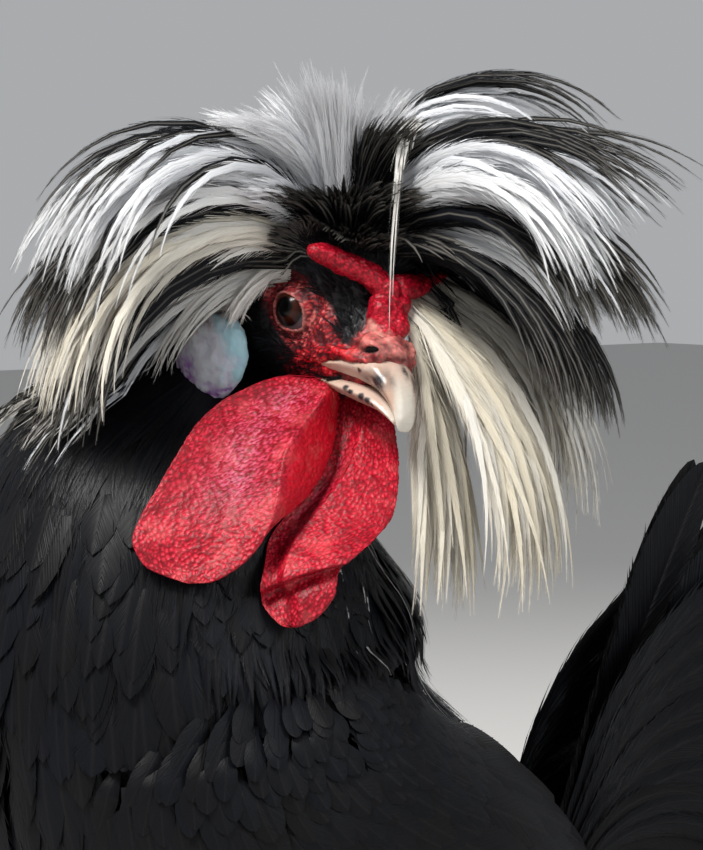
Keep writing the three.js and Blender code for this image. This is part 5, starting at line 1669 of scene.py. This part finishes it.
def growWing(side, node):
    pieces = []
    for k, (kind, start, end, step, long, lifts, half, spacing) in enumerate(wing["tiers"]):
        draw = np.random.default_rng(900 + k)
        s, turn = [], []
        for j, station in enumerate(np.arange(start, end, step)):
            low, high, _ = padAt(station)
            if kind == "scale" and station < 6.2:
                low, high = low - 4, high + 4
            gap = spacing * (0.58 + 0.42 * smooth(4.3, 5.8, station)) if step < 0.2 else spacing
            many = max(int((high - low) / 360 * ringLength(station) / gap), 2)
            turns = low + (high - low) * (np.arange(many) + (0.25 if j % 2 else 0.75)) / many
            turn.append(turns + draw.normal(0, 0.9, many))
            s.append(np.full(many, station) + draw.normal(0, 0.03, many))
        s, turn = np.concatenate(s), np.concatenate(turn)
        many = len(s)
        low0, high0, _ = padAt(s)
        short = np.where(step < 0.2, 0.36 + 0.64 * smooth(3.9, 5.8, s), 1)  # small on the shoulder
        to = np.minimum(s + long * short * draw.uniform(0.94, 1.06, many), 10.05)
        low1, high1, _ = padAt(to)
        u = (turn - low0) / (high0 - low0)
        across = low1 + u * (high1 - low1)
        turn1 = turn + (across - turn) * 0.5 if kind == "scale" else across
        lift = draw.normal(0, 0.25, many)[:, None]
        flip = (lambda a: a) if side > 0 else (lambda a: 180 - a)
        t = np.linspace(0, 1, 13)[None]
        sAll = s[:, None] + (to - s)[:, None] * t
        turnAll = turn[:, None] + (turn1 - turn)[:, None] * t
        place, faces = bodyPoint(sAll, flip(turnAll), padTop(sAll, turnAll) + rising(t, *lifts) + lift * t)
        look = quillLook if kind == "quill" else bodyLook
        halves = half * (0.36 + 0.64 * short) * draw.uniform(0.9, 1.08, many)
        pieces.append(growFeathers(f"wing{node.title()}{kind.title()}{k}", kind, place, faces, halves, 0, 0,
                                   rootsOn(s, flip(turn)), look=look, seed=40 + k))
    for piece in pieces:
        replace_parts(piece, f"wing_{node}")


for side, node in sides:
    growWing(side, node)
print("wings made")

# Saddle: long narrow feathers that fall to both sides of the back
saddle = {"rows": (6.7, 9.7, 0.18), "spacing": 7.0, "long": 2.1, "half": 4.2}


def growSaddle(values):
    draw = np.random.default_rng(41)
    s, turn = scatter(np.arange(*values["rows"]), values["spacing"], draw)
    keep = (turn > 52) & (turn < 128)
    s, turn = s[keep], turn[keep]
    many = len(s)
    fall = (turn - 90) * 0.75 + draw.normal(0, 3, many)
    top = np.interp(s, [6.6, 7.6, 8.6, 9.5], [0.6, 3.4, 3.6, 1])
    lift = (top + draw.normal(0, 0.5, many))[:, None]
    to = np.minimum(s + values["long"] * draw.uniform(0.8, 1.1, many), 10.9)
    paths, faces = bodyPaths(s, turn, to, turn + fall,
                             lambda t, *_: rising(t, -3, 1.5, 3.2) + lift * (1 - t * 0.3), 12)
    half = values["half"] * draw.uniform(0.8, 1.15, many)
    return growFeathers("saddleFeathers", "hackle", paths, faces, half, 0, 0, rootsOn(s, turn),
                        look=hackleLook, seed=42)


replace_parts(growSaddle(saddle), "saddle")

# Tail: two upright halves of broad quills, then the sickles and the narrow feathers at the root
tail = {
    "place": (0, 106, 222), "many": 7, "low": 8, "high": 67, "long": 150, "half": 11, "steps": 16,
    "sickles": [  # launch and end of the arc, length, half width, distance from the middle
        (80, -82, 300, 8.5, 14), (76, -78, 262, 7.6, 15.5), (74, -74, 225, 8, 16.5), (68, -72, 192, 7, 18),
        (62, -68, 160, 7.6, 19), (54, -66, 136, 6.6, 20), (42, -62, 112, 7, 21), (30, -60, 96, 6.4, 21.5),
    ],
    "lesser": {"many": 46, "long": (60, 120), "half": 4.2},
}


def growTail(values):
    paths, faces, roots = [], [], []
    t = np.linspace(0, 1, values["steps"] + 1)
    for side in (1, -1):
        for k in range(values["many"]):
            share = k / (values["many"] - 1)
            rise = math.radians(values["low"] + (values["high"] - values["low"]) * share)
            off = 10 - 7.8 * share
            droop = 10 * t * t
            y = values["place"][1] + math.cos(rise) * values["long"] * t + droop * math.sin(rise)
            z = values["place"][2] + math.sin(rise) * values["long"] * t - droop * math.cos(rise)
            paths.append(np.stack([side * (off + 5 * t * (1.2 - share)), y, z], -1))
            faces.append(np.broadcast_to([side, 0, 0.12], (len(t), 3)))
            roots.append((0.96, 0.5 + side * (0.1 + 0.3 * share)))
    return growFeathers("tailQuills", "quill", np.array(paths), np.array(faces, float), values["half"], 0, 0,
                        np.array(roots), look=quillLook, seed=51)


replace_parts(growTail(tail), "tail")


def growSickles(values, side, node):
    draw = np.random.default_rng(61)
    lesser = values["lesser"]
    sets = [(*one, 0.0) for one in values["sickles"]]
    for _ in range(lesser["many"]):
        share = draw.uniform(0, 1)
        launch, end = 70 - 66 * share + draw.normal(0, 5), -58 - 20 * draw.uniform(0, 1)
        long, half = draw.uniform(*lesser["long"]), lesser["half"] * draw.uniform(0.8, 1.2)
        sets.append((launch, end, long, half, 8 + 14 * draw.uniform(0, 1), share))
    steps = 24
    paths, halves, roots = [], [], []
    for launch, end, long, half, off, share in sets:
        t = (np.arange(steps) + 0.5) / steps
        slope = np.radians(launch + (end - launch) * t)
        stride = long / steps
        move = np.stack([side * 0.12 * t, np.cos(slope), np.sin(slope)], -1) * stride
        start = np.array([side * off, 100 - 6 * share, 234 - 10 * share])
        paths.append(np.vstack([start, start + np.cumsum(move, 0)]))
        halves.append(half)
        roots.append((0.94 + 0.02 * share, 0.5 + side * 0.1 * (1 + off / 20)))
    faces = np.broadcast_to([side, 0, 0.15], (len(sets), steps + 1, 3)).astype(float)
    return growFeathers(f"sickles{node.title()}", "sickle", np.array(paths), faces, np.array(halves), 0, 0,
                        np.array(roots), look=quillLook, seed=62)


for side, node in sides:
    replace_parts(growSickles(tail, side, node), f"sickles_{node}")
print("tail made")


# Thighs: soft feathers down to the hock
def growThigh(side, node):
    draw = np.random.default_rng(71)
    last = len(thigh["points"]) - 1
    points = mirrored(thigh["points"] + thigh["hem"][0], side)
    sizes = thigh["sizes"] + thigh["hem"][1]
    s, turn = [], []
    for k, station in enumerate(np.arange(0.3, last + 0.2, 0.2)):
        size = along(sizes, np.array([station]))[0]
        many = max(int(math.pi * size.sum() / 6.5), 7)
        turn.append((np.arange(many) + 0.5 * (k % 2)) * 360 / many + draw.normal(0, 4, many))
        s.append(np.full(many, station))
    s, turn = np.concatenate(s), np.concatenate(turn)
    many = len(s)
    t = np.linspace(0, 1, 9)[None]
    to = s + 0.9 * draw.uniform(0.75, 1.15, many)
    sAll = s[:, None] + (to - s)[:, None] * t
    lift = rising(t, -3.2, 0.2, 1.8) + draw.normal(0, 0.6, many)[:, None] * t
    place, faces = tubePoint(points, sizes, sAll, turn[:, None] + 0 * t, lift)
    roots = np.stack([s / last * 0.9 + 0.05, (turn % 360) / 360 * 0.9 + 0.05], -1)
    half = 5.6 * draw.uniform(0.8, 1.1, many)
    return growFeathers(f"thigh{node.title()}Coat", "body", place, faces, half, 0, 0, roots, look=bodyLook,
                        seed=72)


for side, node in sides:
    growThigh(side, node)
print("thighs made")

# Legs: broad scutes down the front of the shank and along the toes
leg = {
    "shank": [(34.6, 32.4, 112), (34, 30, 102), (34, 23, 78), (34, 14, 46), (34, 4.5, 15)],
    "shankSizes": [(6.9, 7.5), (6.3, 6.9), (4.9, 5.7), (4.9, 5.7), (6.1, 6.3)],
    "scutes": 22,
    "ankle": (34, 4, 15),
    "toes": {"inner": (-31, 46, 1), "middle": (3, 62, 1.05), "outer": (40, 50, 1), "hind": (165, 26, 0.9)},
    "toeRadius": 4.6,
    "ankleLine": [(34, 6.4, 24), (34, 5.4, 16), (34, 4.4, 8)],
    "ankleSizes": [(6.3, 6.5), (6.8, 6.9), (7.6, 7.6)],
    # a claw's line: out past the toe, share of the toe's radius up
    "claw": [(-1.5, 0.9), (1.5, 0.98), (4.5, 0.96), (8.2, 0.68), (11.6, 0.2)],
    "clawSizes": [(2.2, 2.5), (2.3, 2.6), (1.8, 2.2), (1.15, 1.35), (0.3, 0.35)],
    "spur": [(32, 16.8, 51.6), (28.4, 19.2, 52), (24, 22.5, 52.6), (19, 27, 55)],
    "spurSizes": [(3.4, 3.4), (3, 3), (2.1, 2.1), (0.6, 0.6)],
}


def scuteLift(share, turn, many, high, front=90):
    facing = np.cos(np.radians(turn - front))
    step = (share * many) % 1
    broad = np.clip(facing * 1.6, 0, 1) * (step**1.5) * high
    fine = (1 - np.clip(facing * 1.6, 0, 1)) * 0.22 * np.abs(np.sin(share * many * 2.2 * math.pi)) * np.abs(
        np.sin(np.radians(turn * 5)))
    return broad + fine


def legPiece(name, bm, node, look=None):
    bmesh.ops.recalc_face_normals(bm, faces=bm.faces)
    piece = meshObject(name, bm)
    co = pointsOf(piece)
    rough = pebbles(co, 2.4)
    setMask(piece, "base", smooth(0.45, 0.0, rough) * 0.8)
    setMask(piece, "tip", 0.35 * smooth(0.1, 0.5, hills(co, 9, 3)))
    setMask(piece, "speck", 0 * rough)
    relief = 0.5 if look is None else 0.1
    setPoints(piece, toFrame(co + normalsOf(piece) * ((rough - 0.6) * relief)[:, None]))
    return finish(piece, look or legLook, [node])


def toeLine(heading, side):
    a = math.radians(heading)
    return np.array([math.sin(a) * side, -math.cos(a), 0])


def makeLeg(side, node):
    bm = bmesh.new()
    tube(bm, mirrored(leg["shank"], side), leg["shankSizes"], 56, 200, (0, -1, 0), 0.03,
         lambda share, turn: scuteLift(share, turn, leg["scutes"], 0.7))
    legPiece(f"shank{node.title()}", bm, f"shank_{node}")
    x, y, _ = leg["ankle"]
    middle = np.array([x * side, y, 0])
    parts = []
    for toeName, (heading, length, size) in leg["toes"].items():
        r = leg["toeRadius"] * size
        ahead, rise = toeLine(heading, side), 3 if heading > 90 else 7
        points = [middle + ahead * out + (0, 0, up) for out, up in (
            (0, 6 + rise), (9, r + rise * 0.5), (length * 0.55, r * 0.86), (length + 1, r * 0.84))]
        sizes = [(r * 1.15, r * 1.1), (r * 1.08, r), (r, r * 0.9), (r * 0.74, r * 0.72)]
        toes = bmesh.new()
        joints = 2 if heading > 90 else 3

        def liftAt(share, turn, joints=joints, length=length):
            under = np.clip(-np.sin(np.radians(turn)), 0, 1)
            pads = 0.5 * under * np.abs(np.sin(share * joints * math.pi))
            return scuteLift(share, turn, int(length / 3.2), 0.5) + pads

        tube(toes, points, sizes, 40, 120, (0, 0, 1), 0.05, liftAt)
        bmesh.ops.recalc_face_normals(toes, faces=toes.faces)
        parts.append(meshObject(toeName, toes))
        claw = bmesh.new()
        tube(claw, [middle + ahead * (length + out) + (0, 0, r * up) for out, up in leg["claw"]],
             leg["clawSizes"], 24, 36, (0, 0, 1), 0.06)
        name = f"claw{node.title()}{toeName.title()}"
        legPiece(name, claw, f"claw_{node}_{toeName}", clawLook)
    hub = bmesh.new()
    ball(hub, (x * side, y, 8), (9, 9, 8.6), 48, 32)
    root = meshObject("footHub", hub)
    ankle = bmesh.new()
    tube(ankle, mirrored(leg["ankleLine"], side), leg["ankleSizes"], 48, 40, (0, 1, 0), 0.12,
         lambda share, turn: scuteLift(share, turn, 6, 0.5, 270))
    bmesh.ops.recalc_face_normals(ankle, faces=ankle.faces)
    united(root, parts + [meshObject("ankle", ankle)])
    foot = bmesh.new()
    foot.from_mesh(root.data)
    bpy.data.objects.remove(root)
    for vert in foot.verts:
        vert.co.z = max(vert.co.z, 0.0)
    legPiece(f"foot{node.title()}", foot, f"foot_{node}")
    spur = bmesh.new()
    tube(spur, mirrored(leg["spur"], side), leg["spurSizes"], 28, 36, (0, 0, 1), 0.1)
    legPiece(f"spur{node.title()}", spur, f"spur_{node}", clawLook)


for side, node in sides:
    makeLeg(side, node)
print("legs made")
